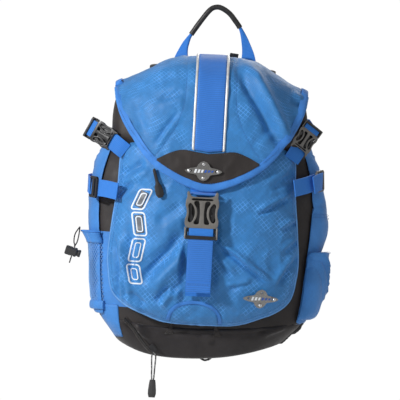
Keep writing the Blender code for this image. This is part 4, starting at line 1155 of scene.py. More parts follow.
def draped(name, skin, path, width, out, material, thickness=0.3, closed=False,
           cross=5):
    """A flat strip of a width along points (x, z) that lies on the cloth's front."""
    line = [Vector(p) for p in path]
    grid = []
    count = len(line)
    for i, p in enumerate(line):
        if closed:
            ahead = line[(i + 1) % count] - line[i - 1]
        else:
            ahead = heading(line, i)
        side = Vector((ahead.y, -ahead.x)).normalized()
        row = []
        for k in range(cross):
            q = p + side * width * (k / (cross - 1) - 0.5)
            row.append(Vector((q.x, skin.front(q.x, q.y) - out, q.y)))
        grid.append(row)
    if closed:
        grid.append([p.copy() for p in grid[0]])
    return sheet_piece(name, grid, thickness, material, "pack", forwards, ())


def lozenge(x, z, wide, tall, lean, corner=4.0):
    """A closed slanted box with round corners, as points (x, z) about 1.6 mm apart."""
    points = []
    for cx, cz, start in ((wide / 2, tall / 2, 0), (-wide / 2, tall / 2, 90), (-wide / 2, -tall / 2, 180),
                          (wide / 2, -tall / 2, 270)):
        for k in range(6):
            a = math.radians(start + 18 * k)
            points.append((cx - math.copysign(corner, cx) + corner * math.cos(a),
                           cz - math.copysign(corner, cz) + corner * math.sin(a)))
    points.append(points[0])
    even = []
    for a, b in zip(points, points[1:]):
        n = max(1, int(math.dist(a, b) / 1.6))
        even += [(a[0] + (b[0] - a[0]) * k / n, a[1] + (b[1] - a[1]) * k / n) for k in range(n)]
    return [(x + a + lean * b, z + b) for a, b in even]


def make_pocket_print(skin):
    """A generic column of slanted boxes, outlined in white, darker towards the top."""
    boxes = [(236, 30, 0.42), (199, 34, -0.16), (160, 34, 0.16), (124, 28, -0.22)]
    for i, (z, tall, lean) in enumerate(boxes):
        x = -96 - i * 1.6
        ring = lozenge(x, z, 19, tall, lean)
        draped(f"pocket_print_outline_{i + 1}", skin, ring, 2.3, 0.35, LOOKS["print_pale"], closed=True)
        if i < 2:
            rows = max(4, int(tall - 9))
            spine = [(x + lean * t, z + t) for t in
                     (-(tall - 7) / 2 + (tall - 7) * k / (rows - 1) for k in range(rows))]
            draped(f"pocket_print_fill_{i + 1}", skin, spine, 12.5, 0.3, LOOKS["print_dark"], cross=7)
        slot_box = lozenge(x, z, 8.5, tall - 12, lean, corner=3.0)
        draped(f"pocket_print_inner_{i + 1}", skin, slot_box, 1.7, 0.5, LOOKS["print_pale"], closed=True)


ARCH_X, ARCH_FOOT, ARCH_TOP = -8.6, 52, 83


def make_arch(skin):
    """The bound arch at the foot of the pocket: a ripstop patch, tape round it and its stitches."""
    patch = []
    for j in range(13):
        t = j / 12
        z = ARCH_FOOT + (ARCH_TOP - ARCH_FOOT) * t
        half = 36 * math.sqrt(max(0.0, 1 - (t * 0.86) ** 3.2))
        row = []
        for k in range(21):
            x = ARCH_X + half * (-1 + k / 10)
            row.append(Vector((x, skin.front(x, z) - 0.9 - 0.5 * ripple(Vector((x, 0, z)), 14), z)))
        patch.append(row)
    sheet_piece("arch_patch_cloth", patch, 1.0, LOOKS["ripstop"], "pack", forwards, ("arch_patch",))

    def bow(wide, tall, count):
        """Points (x, z) over the arch from left to right."""
        turns = [math.pi * k / count for k in range(count + 1)]
        return [(ARCH_X - wide * math.cos(a), ARCH_FOOT + 1 + tall * math.sin(a) ** 0.75) for a in turns]

    draped("arch_bias_tape", skin, bow(39, 33, 40), 5.0, 1.4, LOOKS["binding"],
           thickness=0.9)
    stitches("arch_stitches", [Vector((x, skin.front(x, z) - 1.9, z)) for x, z in bow(36.6, 30.6, 60)],
             "pack", LOOKS["thread"], size=0.35)


def make_arch_feet(skin):
    """Black triangles below the arch's feet; each row is a height and where it begins and ends."""
    rows = ((36.3, 30.0, 43.0), (41, 30.4, 40.2), (46, 30.8, 37.4), (51, 31.1, 34.6), (56, 31.2, 31.9))
    for name, side in SIDES:
        grid = []
        for z, a, b in rows:
            line = [ARCH_X + side * (a + (b - a) * k / 4) for k in range(5)]
            grid.append([Vector((x, min(skin.front(x, z), POCKET_SKIN.front(x, z, 0)) - 0.7, z))
                         for x in line])
        sheet_piece(f"arch_foot_{name}", grid, 0.6, LOOKS["leaf"], "pack", forwards, ())


# ---------------------------------------------------------------- bag, sides and base

LEFT_CORE = (-100, -66)  # upright lines inside the pack's sides
RIGHT_CORE = (100, -66)


def wrapped(skin, z, core, first, last, count):
    """Evenly spaced points where level z of a skin is met by rays towards a core (x, y)."""
    found = []
    for k in range(241):
        a = math.radians(first + (last - first) * k / 240)
        ray = Vector((math.cos(a), math.sin(a), 0))
        hit = skin.hit(Vector((core[0], core[1], z)) + ray * 300, -ray)
        if hit and (hit - Vector((core[0], core[1], z))).dot(ray) > 20:
            found.append(hit)
    if len(found) < 12:
        return None
    return evenly(found, count)


def left_away(p):
    """From the upright line inside the left side to a point, level."""
    return Vector((p.x - LEFT_CORE[0], p.y - LEFT_CORE[1], 0))


BASE_CREASES = [((8, 44), (-7, 8), 3.8, 4.6, 1.1), ((74, 16), (128, 44), 5.0, 5.6, 1.0),
                ((-118, 60), (-72, 10), 4.5, 4.6, 1.1), ((-44, 34), (-22, 42), 3.4, 3.0, 0.9),
                ((-40, 46), (-52, 20), 4.0, 2.6, 0.8), ((66, 40), (58, 14), 4.0, 2.8, 0.8),
                ((96, 52), (86, 26), 5.0, 3.0, 0.8), ((-104, 54), (-84, 24), 4.0, 3.0, 0.9)]
SIDE_CREASES = [((-110, 236), (-60, 228), 6.0, 2.6, 0.6), ((-40, 300), (-90, 318), 7.0, 2.4, 0.6),
                ((-112, 156), (-62, 96), 6.5, 4.2, 1.0)]


def fabric_waves(big, small, seed, creases=(), axis=0):
    """A wrinkle function: broad swells, crumple valleys and chosen creases."""
    def amount(p, n):
        return (big * ripple(p, 48, seed) + small * sharp_ripple(p, 22, seed + 3.0)
                + 0.25 * ripple(p, 7, seed) + creased(p, axis, creases))
    return amount


def make_bag():
    """The main bag, base, sides and right pocket as full, creased cloth."""
    waves = fabric_waves(0.5, 0.4, 21.0)

    def bag_swell(p, n):
        # the full bag bears against the lid's underside above the pocket
        full = smooth((p.z - 296) / 30) * smooth((424 - p.z) / 40) * smooth((-n.y - 0.2) / 0.5)
        return waves(p, n) + 34.0 * full * smooth((152 - abs(p.x)) / 34)

    bag = softened("main_bag_cloth", "main_bag", LOOKS["nylon"], 2, bag_swell)
    bag.data.materials.append(LOOKS["leaf"])
    for face in bag.data.polygons:
        middle = to_pack(face.center)
        if middle.y < -96 and not (middle.x < -100 and 74 < middle.z < 186):
            face.material_index = 1
    wrinkles = fabric_waves(1.0, 1.0, 31.0, BASE_CREASES)
    slider = sum(box_of("base_zip_slider"), Vector()) / 2
    slider += Vector(joint("base_zip_slide")["axis"]) * 9

    def base_swell(p, n):
        corner = math.exp(-((p.x + 131) / 16) ** 2 - ((p.z - 34) / 17) ** 2)
        # the folds fade out, and the cloth lies a little lower, along the zip slider's run
        track = math.exp(-((p.x - slider.x) / 26) ** 2 - ((p.z - slider.z) / 9) ** 2)
        swell = wrinkles(p, n) * (1 - track) - 1.2 * track
        swell += 6.0 * corner * smooth((-n.x - 0.1) / 0.5) * smooth((52 - p.z) / 14)
        flat = smooth((abs(n.z) - 0.2) / 0.4)
        # the upper edge is drawn up over the bag's lower edge
        return swell * (1 - flat) + 5.0 * smooth((n.z - 0.1) / 0.4)

    base = softened("base_cloth", "base_panel", LOOKS["black"], 2, base_swell, 3)
    foot = Skin(base, bag)
    patch = [wrapped(foot, z, LEFT_CORE, 249 - 0.06 * (z - 28), 205, 15) for z in range(28, 77, 4)]
    sheet_piece("base_corner_patch", [[p + Vector((-0.9, -0.7, 0)) for p in row] for row in patch if row],
                0.9, LOOKS["nylon"], "pack", left_away, ())
    make_arch_feet(foot)
    for name, sign in SIDES:
        softened(f"side_panel_{name}_cloth", f"side_panel_{name}", LOOKS["nylon"], 2,
                 fabric_waves(0.9, 0.8, 41.0 + sign, SIDE_CREASES[:2], axis=1))
    softened("side_pocket_right_cloth", "side_pocket_right", LOOKS["nylon"], 2,
             fabric_waves(0.8, 0.7, 51.0, SIDE_CREASES[2:], axis=1))

    for label, node, levels in (("panel", "side_panel_right", (226, 221.5)),
                                ("pocket", "side_pocket_right", (175.5, 170))):
        skin = Skin(NODES[node])
        for i, z in enumerate(levels):
            row = wrapped(skin, z, RIGHT_CORE, -80, 80, 90)
            if row:
                stitches(f"side_{label}_right_stitches_{i + 1}",
                         [p + Vector((0.5, -0.2, 1.5 * math.sin(p.y * 0.05))) for p in row], "pack",
                         LOOKS["thread"], size=0.4, out=(1, 0, 0))
    make_mesh_pocket()
    make_yoke()


def make_mesh_pocket():
    """Open diamond net over the side pocket, with a gathered nylon hem and foot."""
    skin = Skin(NODES["mesh_pocket"])
    lo, hi = box_of("mesh_pocket")
    columns, step = 44, 3.3
    levels = [lo.z + 3 + step * k for k in range(int((hi.z - lo.z - 4) / step))]
    grid = [row for row in (wrapped(skin, z, LEFT_CORE, 262, 98, columns) for z in levels) if row]
    for row in grid:
        for i, p in enumerate(row):
            out = left_away(p).normalized()
            tuck = smooth((p.z - 62) / 20) * smooth((196 - p.z) / 34) * clamp(-out.x * 1.3)
            row[i] = p - out * (9.5 * tuck) + out * (1.0 * ripple(p, 20, 61.0)
                                                    + 1.0 * sharp_ripple(p, 26, 63.0, (1, 1, 0.35)))
    hem_row = max(j for j, row in enumerate(grid) if row[columns // 2].z < 167)
    net_rows = grid[:hem_row + 2]
    points = [p for row in net_rows for p in row]
    faces = []
    for j in range(len(net_rows) - 2):
        for i in range(1, columns - 1):
            if (i + j) % 2 == 0:
                faces.append((j * columns + i, (j + 1) * columns + i + 1, (j + 2) * columns + i,
                              (j + 1) * columns + i - 1))
    net = make("mesh_pocket_net", mesh_of("mesh_pocket_net", points, faces, grid_uvs(net_rows)),
               LOOKS["mesh"], "pack", ("mesh_pocket",))
    wires = net.modifiers.new("threads", "WIREFRAME")
    wires.thickness = 1.1 * MM
    wires.use_replace = True
    applied(net)
    net.data.shade_smooth()

    band = []
    for row in grid[hem_row:]:
        folds = [math.sin(i * 1.15 + 0.8 * noise.noise(p * 0.05)) * 0.8 for i, p in enumerate(row)]
        band.append([p + left_away(p).normalized() * (1.2 + fold) for p, fold in zip(row, folds)])
    sheet_piece("mesh_pocket_hem", band, 1.2, LOOKS["nylon"], "pack", left_away, ())
    edge = [p + left_away(p).normalized() * 0.3 + Vector((0, 0, 0.8)) for p in band[-1]]
    tube("mesh_pocket_hem_edge", edge, 1.5, LOOKS["binding"], "pack", (), sides=8)
    rings = []
    for i, p in enumerate(grid[0]):
        swell = 1 + 0.22 * math.sin(i * 1.9) + 0.15 * noise.noise(p * 0.2)
        out = left_away(p).normalized()
        rings.append(oval(p + UP * 3.5 + out * 0.4, UP, out, 6.8, 2.6 * swell, 14, 2.3))
    rings_piece("mesh_pocket_foot", rings, LOOKS["nylon"], "pack", ())


def make_yoke():
    """The cloth between the lid's rear edge and the top of the back, and two black web ends."""
    columns = 61
    grid = []
    for j in range(9):
        t = j / 8
        row = []
        for i in range(columns):
            x = 138 * (-1 + 2 * i / (columns - 1))
            top = THE_LID.at(x, 0.0, -1.6)
            foot = Vector((x * 0.97, 1.6, min(424.0, top.z - 9)))
            p = top.lerp(foot, t) + Vector((0, 3.0 * math.sin(math.pi * t), 2.5 * math.sin(math.pi * t)))
            row.append(p + Vector((0, 0.5 * ripple(p, 16, 71.0), 0)))
        grid.append(row)
    sheet_piece("yoke_cloth", grid, 1.2, LOOKS["nylon"], "pack", lambda p: Vector((0, 1, 1)), ())
    ribbon("base_web_end", [(22, -40, 3), (17, -44, 0.5), (10, -48, -1.0), (2, -52, 2.5)],
           Vector((0.25, 1, 0)), 18, 1.6, LOOKS["black_webbing"], "pack", ())
    ribbon("yoke_tab", [(31, 2, 452), (31, -2, 460), (31.5, -8, 463.4), (31.5, -16, 463)],
           Vector((1, 0, -0.1)), 13, 1.6, LOOKS["black_webbing"], "lid", ())


# ---------------------------------------------------------------- back and harness

def channels(p, n):
    """Sewn channels that part the back panel's padding."""
    if n.y < 0.4:
        return 0.0
    total = 0.0
    for x in (-46, 46):
        total -= 3.4 * math.exp(-((p.x - x) / 4.5) ** 2)
    for z in (132, 232, 332):
        total -= 2.6 * math.exp(-((p.z - z) / 4.0) ** 2) * smooth((120 - abs(p.x)) / 20)
    return total + 0.5 * ripple(p, 30, 81.0)


SHOULDER_LINE = [(240, 109), (290, 103), (350, 97), (400, 92), (450, 88)]  # (z, x) on the straps
BEHIND_LIMIT = 300


def make_harness():
    """Back panel, shoulder straps with their ribs and lower webbing, and hip belt wings."""
    back = inflated("back_pad", "back_panel", LOOKS["air_mesh"], "pack", channels,
                    voxel=5.0, pinned=lambda p: 1.0 if p.y < 4 else 0.0)
    for name, sign in SIDES:
        body = f"shoulder_{name}"
        strap = inflated(f"shoulder_pad_{name}", f"shoulder_strap_{name}", LOOKS["air_mesh"], body,
                         lambda p, n: 0.4 * ripple(p, 18, 91.0),
                         pinned=lambda p: 1.0 if p.z > 425 else 0.0, smoothing=4)
        for vertex in strap.data.vertices:
            p = to_pack(vertex.co)
            nearer = 15.0 * smooth((p.z - 404) / 26) * clamp((abs(p.x) - 70) / 40)
            vertex.co = at(p.x - sign * nearer, p.y, p.z)
        lowest = box_of(f"shoulder_strap_{name}")[0].z
        skin = Skin(strap)
        rows = []
        for k in range(60):
            z = 424 - (424 - lowest - 8) * k / 59
            x = along([(0, 114)] + SHOULDER_LINE, z) if z > 195 else 114
            hit = skin.hit((sign * x, BEHIND_LIMIT, z), (0, -1, 0))
            if hit:
                rows.append(hit + Vector((0, 0.7, 0)))
        if len(rows) > 4:
            ribbon(f"shoulder_rib_{name}", rows[::3], Vector((sign, 0, 0)), 20, 1.4,
                   LOOKS["black_webbing"], body, (), fine=2)
        a, b = box_of(f"shoulder_webbing_{name}")
        top = Vector((sign * (min(abs(a.x), abs(b.x)) + 12.5), b.y - 0.8, b.z))
        foot = Vector((sign * (max(abs(a.x), abs(b.x)) - 12.5), a.y + 0.8, a.z))
        ribbon(f"shoulder_lower_web_{name}", [top, top.lerp(foot, 0.35), top.lerp(foot, 0.7), foot],
               Vector((sign, 0, 0)), 25, 1.6, LOOKS["black_webbing"], body,
               (f"shoulder_webbing_{name}",))
        wing = inflated(f"hip_wing_{name}", f"hip_belt_wing_{name}", LOOKS["air_mesh"], f"wing_{name}",
                        lambda p, n: 0.5 * ripple(p, 22, 95.0), cap=3.5, smoothing=3)


# ---------------------------------------------------------------- hard parts

def crisp(node, material, width):
    """A CAD piece as it is, with its edges eased and a finer material."""
    obj = NODES[node]
    if obj.material_slots:
        obj.material_slots[0].material = material
    else:
        obj.data.materials.append(material)
    weld = obj.modifiers.new("weld", "WELD")
    weld.merge_threshold = 1e-5
    ease = obj.modifiers.new("eased_edges", "BEVEL")
    ease.width = width * MM
    ease.segments = 2
    ease.limit_method = "ANGLE"
    ease.angle_limit = math.radians(40)


def joint(name):
    return next(j for j in frame["joints"] if j["name"] == name)


def buckle_frame(left, right, release):
    """A buckle's middle line at its mouth, its axes, and its scale, read from its joints."""
    a, b = (to_pack(joint(n)["pos_m"]) for n in (left, right))
    v = -Vector(joint(release)["axis"])
    w = -Vector(joint(left)["axis"])
    u = (b - a).normalized()
    k = (b - a).length / 27.0
    return (a + b) / 2 - v * 9.8 * k, u, v, w, k


# the female half over its mouth, (u, v) for a buckle whose spring arms turn 27 mm apart
FEMALE_EDGE = [(0, 0.4), (18, 0.4), (23, 2), (25, 6), (25, 13), (23.4, 17.5), (22.8, 23), (23.4, 29),
               (25, 33.5), (24.6, 41), (23, 46.5), (23.4, 51), (22.6, 54.2), (20.4, 54.6), (18.8, 51.6),
               (17, 48.4), (12, 47), (0, 46.6)]
FEMALE_INNER = [(4.4, 7), (10.4, 6.4), (11.6, 9.4), (8.4, 15), (7.0, 22.5), (8.4, 30.5), (12.0, 36.5),
                (11, 40.2), (5.0, 39.6), (3.6, 31), (3.0, 22.5), (3.4, 14)]
FEMALE_OUTER = [(17.6, 8.6), (20.4, 11.2), (20.0, 17), (19.4, 23), (20.0, 29), (20.6, 34), (17.8, 37.4),
                (14.2, 34.6), (11.4, 29), (10.6, 22.5), (11.6, 16), (14.4, 10.4)]
FEMALE_BAR = [(0, 41.6), (14.5, 41.6), (16.5, 43), (14.5, 44.6), (0, 44.6)]


def rounded(points, steps=4):
    """A smooth closed line through points (u, v)."""
    n = len(points)
    out = []
    for i in range(n):
        a, b, c, d = (Vector(points[(i + j) % n]) for j in (-1, 0, 1, 2))
        for s in range(steps):
            t = s / steps
            out.append(0.5 * (2 * b + (c - a) * t + (2 * a - 5 * b + 4 * c - d) * t * t
                              + (3 * b - a - 3 * c + d) * t ** 3))
    return out


def plate_mesh(name, outlines, low, high, bevel, place):
    """A plate with round edges: the first outline is its edge and the others are holes."""
    curve = bpy.data.curves.new(name, "CURVE")
    curve.dimensions = "2D"
    curve.fill_mode = "BOTH"
    for points in outlines:
        line = curve.splines.new("POLY")
        line.points.add(len(points) - 1)
        for point, (u, v) in zip(line.points, points):
            point.co = (u * MM, v * MM, 0, 1)
        line.use_cyclic_u = True
    curve.extrude = ((high - low) / 2 - bevel) * MM
    curve.bevel_depth = bevel * MM
    curve.bevel_resolution = 2
    curve.offset = -bevel * MM
    temp = placed(name, curve)
    mesh = bpy.data.meshes.new_from_object(temp.evaluated_get(bpy.context.evaluated_depsgraph_get()))
    bpy.data.objects.remove(temp)
    bpy.data.curves.remove(curve)
    mesh.transform(place @ Matrix.Translation((0, 0, (low + high) / 2 * MM)))
    return mesh


def joined(name, meshes, material, body, replaces):
    work = bmesh.new()
    for mesh in meshes:
        work.from_mesh(mesh)
        bpy.data.meshes.remove(mesh)
    bmesh.ops.remove_doubles(work, verts=work.verts, dist=1e-6)
    bmesh.ops.recalc_face_normals(work, faces=work.faces)
    mesh = mesh_from(work, name)
    mesh.shade_smooth()
    mesh.set_sharp_from_angle(angle=math.radians(35))
    return make(name, mesh, material, body, replaces)


def mirrored(half):
    return list(half) + [(-u, v) for u, v in reversed(half) if u]


def make_buckle(name, left, right, release, material, female_body, web_body):
    """A side release buckle: the female half's shell, its sides, back and top in black as painted shade on
    the grey buckles, and the male half's bar and rails.
    """
    mouth, u, v, w, k = buckle_frame(left, right, release)
    place = Matrix((u, v, w)).transposed().to_4x4()
    place.translation = at(*mouth)

    def size(points):
        return [(a * k, b * k) for a, b in points]

    both = [FEMALE_INNER, FEMALE_OUTER]
    holes = [size(rounded(h)) for h in both] + [size(rounded([(-a, b) for a, b in h])) for h in both]
    holes.append(size(mirrored(FEMALE_BAR)))
    face = plate_mesh(name, [size(rounded(mirrored(FEMALE_EDGE), 2))] + holes, 2.9 * k, 5.2 * k, 0.6 * k,
                      place)
    rim_right = [(25, 4), (25, 13), (23.4, 17.5), (22.8, 23), (23.4, 29), (25, 33.5), (24.6, 41), (23, 46),
                 (20.6, 44), (21.8, 35), (20.4, 29), (20.0, 23), (20.4, 17.5), (21.8, 12), (21.8, 4)]
    back = [(-22, 1.5), (22, 1.5), (20.6, 23), (22, 44.6), (-22, 44.6), (-20.6, 23)]
    top = [(-22, 44.6), (22, 44.6), (22, 46.8), (-22, 46.8)]
    # Painted shade: on the grey buckles the shell's sides, back and top are black, standing in for their
    # shaded sides.
    painted_shade_rims = [plate_mesh(name, [size(edge)], low * k, high * k, bevel * k, place)
            for edge, low, high, bevel in ((rim_right, -3.6, 3.2, 0.5),
                                           ([(-a, b) for a, b in rim_right], -3.6, 3.2, 0.5),
                                           (back, -3.7, -3.0, 0.1), (top, -3.4, 3.2, 0.5))]
    joined(f"{name}_shell", [face], material, female_body, (f"{name}_female",))
    joined(f"{name}_painted_shade_walls", painted_shade_rims, LOOKS["dark"], female_body, ())
    # Painted shade: on the grey buckles the male half and its prongs are black, so that the shell's
    # windows read as shaded.
    for part in ("male", "prong_left", "prong_right"):
        crisp(f"{name}_{part}", LOOKS["dark"], 0.45 * k)
    # Painted shade: on the grey buckles the male half's bar is black, standing in for the shaded bar under
    # the shell's mouth.
    rings = []
    for i in range(13):
        t = -1 + i / 6
        spot = mouth - v * (13.6 * k) + u * (24.2 * k * t) + w * (6.3 * k)
        rings.append(oval(spot, v, w, 2.9 * k, 2.0 * k, 16, 2.8))
    rings_piece(f"{name}_bar", rings, LOOKS["dark"], web_body, ())
    for end, side in SIDES:
        rail = [mouth - v * (d * k) + u * (side * 23.6 * k) + w * (out * k)
                for d, out in ((-1.5, 3.6), (2, 4.2), (7, 5.0), (12, 6.0), (15.4, 6.2))]
        rings = [oval(q, u, w, 1.5 * k, 2.3 * k, 12, 2.6) for q in spline(rail, 3)]
        rings_piece(f"{name}_rail_{end}", rings, material, web_body, ())
    return mouth, u, v, w, k


def make_hard_parts():
    """Buckles with the side webs, ladder locks, zip sliders, cord lock, frame sheet and badges."""
    make_buckle("front_buckle", "front_prong_squeeze", "front_prong_right_squeeze",
                "front_buckle_release", LOOKS["grey"], "lid", "front_buckle_slide")
    for name, look, slot in (("left", "dark", "black_plastic"), ("right", "grey", "grey_plastic")):
        mouth, u, v, w, k = make_buckle(
            f"upper_buckle_{name}", f"upper_{name}_prong_squeeze", f"upper_{name}_prong_right_squeeze",
            f"upper_{name}_release", LOOKS[look], "pack", f"upper_male_{name}")
        make_upper_webs(name, mouth, u, v, w, k)
        crisp(f"ladder_lock_{name}", LOOKS["dark" if name == "left" else "grey"], 0.5)
    for node in ("front_zip_slider", "front_zip_pull", "base_zip_slider"):
        crisp(node, LOOKS["dark"], 0.25)
    for node, look, ease in (("base_zip_grip", "grip", 0.25), ("cord_lock_barrel", "grip", 0.4),
                             ("cord_lock_plunger", "grip", 0.4), ("cord_lock_spring", "steel", 0.05),
                             ("frame_sheet", "white_sheet", 0.2)):
        crisp(node, LOOKS[look], ease)
    for name in ("lid_badge", "front_badge"):
        crisp(name, LOOKS["plate"], 0.3)
        make_badge_mark(name)


def make_badge_mark(name):
    """Generic enamel bars on a badge, and the domed heads of its four rivets."""
    lo, hi = box_of(name)
    skin = Skin(NODES[name])
    centre = (lo + hi) / 2
    body = "lid" if name == "lid_badge" else "pack"
    for kind, look, first in (("pale", "enamel", 0), ("blue", "enamel_blue", 3)):
        meshes = []
        for i in range(first, first + 3):
            u = -12.5 + 5.0 * i
            tall = 5.6 - 0.55 * i
            points = []
            for a, b in ((-1.6, -tall / 2), (1.4, -tall / 2), (3.0, tall / 2), (0.0, tall / 2)):
                x, z = centre.x + u + a, centre.z + b
                points.append(Vector((x, skin.front(x, z, centre.y) - 0.35, z)))
            back = [p + Vector((0, 0.5, 0)) for p in points]
            sides = [(j, j + 4, (j + 1) % 4 + 4, (j + 1) % 4) for j in range(4)]
            meshes.append(mesh_of(name + "_bar", points + back, [(0, 1, 2, 3), (7, 6, 5, 4)] + sides))
        joined(f"{name}_bars_{kind}", meshes, LOOKS[look], body, ())
    half = (hi - lo) / 2
    work = bmesh.new()
    for x, z in ((half.x - 6.5, 0), (6.5 - half.x, 0), (0, half.z - 4.8), (0, 4.8 - half.z)):
        spot = Vector((centre.x + x, skin.front(centre.x + x, centre.z + z, centre.y), centre.z + z))
        place = Matrix.Translation(at(*spot)) @ Matrix.Diagonal((2.5 * MM, 1.5 * MM, 2.5 * MM, 1))
        bmesh.ops.create_uvsphere(work, u_segments=16, v_segments=10, radius=1.0, matrix=place)
    mesh = mesh_from(work, f"{name}_heads")
    mesh.shade_smooth()
    make(f"{name}_heads", mesh, LOOKS["steel"], body, (f"{name}_rivets",))


# ---------------------------------------------------------------- webbing

UPPER_HEIGHT = {"left": 330, "right": 357}  # where each upper strap meets the side
PANEL_TOP = 322  # above this height the bag narrows
LOWER = {
    "left": [(-133, -166, 246), (-150, -150, 249), (-166, -125, 251), (-180, -90, 254), (-183, -50, 257),
             (-178, -14, 259)],
    "right": [(131, -168, 264), (150, -150, 270), (166, -125, 277), (180, -90, 280), (182, -50, 281),
              (176, -14, 282)],
}


def make_upper_webs(name, mouth, u, v, w, k):
    """Webbing from a side buckle: the tab to the pocket's corner, and the strap round the side."""
    sign = -1 if name == "left" else 1
    end = mouth + v * (48 * k)
    corner = Vector((sign * 124, POCKET_SKIN.front(sign * 124, 306) - 1.5, 306))
    tab = [end - v * 5 * k - w * 1.0, end + v * 3, end.lerp(corner, 0.6) - Vector((0, 1.5, 0)), corner]
    ribbon(f"upper_tab_{name}_web", tab, u, NARROW_WEB, 1.6, LOOKS["webbing"], "pack",
           (f"upper_tab_{name}",), bow=0.3)
    height = UPPER_HEIGHT[name]
    panel = Skin(NODES[f"side_panel_{name}"])
    side = []
    for y, off in ((-92, 4.5), (-66, 4.0), (-18, 0.5)):
        x = panel.side(sign, y, min(height, PANEL_TOP)) * height_scale(height) + sign * off
        side.append(Vector((x, y, height)))
    over = [mouth + w * (3.4 * k), mouth - v * 8 * k + w * (4.0 * k), mouth - v * 13.6 * k + w * (3.6 * k),
            mouth - v * 17.6 * k - w * (0.5 * k), mouth - v * 16.4 * k - w * (6.0 * k)]
    flat = UP if u.z > 0 else -UP
    middle = over[-1].lerp(side[0], 0.5) + Vector((0, 2, 0))
    across = [u] * 5 + [u.lerp(flat, 0.6), flat, flat, flat]
    web = ribbon(f"upper_strap_{name}_web", over + [middle] + side, across, 24.6, 1.5, LOOKS["webbing"],
                 None, (f"upper_strap_{name}",))
    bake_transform(web)


def height_scale(height):
    """How much narrower the bag is at a height than where its side panels end."""
    return 1.0 - max(0.0, height - PANEL_TOP) * 0.0018


def make_straps():
    """The front strap with its tail, and the lower side straps with theirs."""
    def middle_line(*points):
        return [(STRAP_X, y, z) for y, z in points]

    body = "front_buckle_slide"
    under = middle_line((-186.2, 96), (-188.4, 110), (-193.4, 125), (-195.7, 140), (-195.9, 165),
                        (-195.9, 192))
    fixed = ribbon("front_strap_web", under, ACROSS, WIDE_WEB, 1.6, LOOKS["webbing"], "pack",
                   ("front_strap",))
    tail = middle_line((-204.9, 184.5), (-205.3, 180), (-205.0, 174), (-203.8, 165), (-202.6, 152),
                       (-202.2, 138), (-202.6, 120), (-202.2, 103))
    ribbon("front_tail_web", tail, ACROSS, 37, 1.6, LOOKS["stripe"], body, ("front_strap_tail",), fine=5,
           bow=0.35)
    ribbon("front_band_web", middle_line((-203.6, 197.5), (-204.4, 191), (-204.8, 184)), ACROSS, 36, 1.5,
           LOOKS["webbing"], body, bow=0.3)
    ribbon("front_tail_fold", middle_line((-203.6, 117), (-204.6, 109), (-204.3, 101.6)), ACROSS, 36.6,
           1.3, LOOKS["stripe"], body)
    stitches("front_tail_stitches", [(STRAP_X + 17 * (-1 + k / 10), -204.9, 113.5) for k in range(21)],
             body, LOOKS["thread"])
    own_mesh(fixed)

    for name, path in LOWER.items():
        sign = -1 if name == "left" else 1
        lo, hi = box_of(f"ladder_lock_{name}")
        middle = (lo + hi) / 2
        ahead = (Vector(path[1]) - Vector(path[3])).normalized()
        out = UP.cross(ahead)
        out = (out if out.y < 0 else -out).normalized()
        panel = Skin(NODES[f"side_panel_{name}"])
        under = [Vector(p) for p in path[:3]]
        under += [Vector((panel.side(sign, y, z) + sign * 1.4, y, z)) for _, y, z in path[3:]]
        under[2] = middle - out * 3.4
        under.insert(2, middle - out * 2.2 + ahead * 10)
        under.insert(4, middle - out * 2.2 - ahead * 10)
        ribbon(f"lower_strap_{name}_web", under, UP, NARROW_WEB, 1.6, LOOKS["webbing"], "pack",
               (f"lower_strap_{name}",))
        if name == "left":
            loop = [middle - ahead * 15 - out * 1.2, middle - ahead * 11.5 + out * 1.6,
                    middle - ahead * 8 - out * 1.0]
        else:
            loop = [middle - ahead * 4 - out * 0.5, middle - ahead * 2 + out * 3.0,
                    middle + ahead * 6 + out * 4.0, middle + ahead * 16 + out * 3.6 + Vector((0, 0, -1)),
                    middle + ahead * 26 + out * 2.6 + Vector((0, 0, -3))]
        ribbon(f"lower_tail_{name}_web", loop, UP, 24 if name == "left" else 26, 1.5, LOOKS["webbing"],
               "pack")


# ---------------------------------------------------------------- zips

def make_zips(pocket, base):
    """Tape and coil of both zips, on the cloth that they are sewn to."""
    for name, skin, line in (
            ("front_zip", pocket, [(x, 297 + 8 * (1 - (x / 104) ** 2)) for x in range(-91, 92, 13)]),
            ("base_zip", base, [(-113, 56), (-105, 49), (-96, 40), (-88, 29), (-80, 19), (-72, 11),
                                (-66, 7)])):
        path = [Vector((p.x, 0, p.y)) for p in spline([(x, z, 0) for x, z in line], 4)]
        grid = []
        for i, p in enumerate(path):
            ahead = heading(path, i)
            side = Vector((ahead.z, 0, -ahead.x)).normalized()
            row = []
            for k in range(9):
                q = p + side * (8.0 * (k / 8 - 0.5))
                row.append(Vector((q.x, skin.front(q.x, q.z) - 0.9, q.z)))
            grid.append(row)
        sheet_piece(f"{name}_tape", grid, 0.8, LOOKS["leaf"], "pack", forwards, (name,))
        beads(f"{name}_coil", spline([row[4] + Vector((0, -0.5, 0)) for row in grid], 12), 0.0, 1.9,
              (0.62, 2.6, 0.9), (0, -1, 0), LOOKS["dark"], "pack", corners=4)


# ---------------------------------------------------------------- haul loop

# the loop from its left foot to its right one: x, z, width, thickness
LOOP = [(-51, 429.8, 24, 2.0), (-50, 440, 24, 2.0), (-48.5, 454, 21, 2.2), (-45, 470, 14, 3.4),
        (-40, 482, 8, 5.0), (-35.5, 490, 5.2, 5.2), (-22, 511, 5.2, 5.2), (-9, 528.5, 5.2, 5.2),
        (0, 533.4, 5.2, 5.2), (9, 532.4, 5.2, 5.2), (21, 525, 5.2, 5.2), (31, 513.5, 5.2, 5.2),
        (38, 504, 5.2, 5.2), (43, 494, 8, 4.6), (48, 480, 13, 3.4), (52, 465, 19, 2.4),
        (53.5, 452, 23, 2.0), (54, 440, 24, 2.0), (54, 429.8, 24, 2.0)]


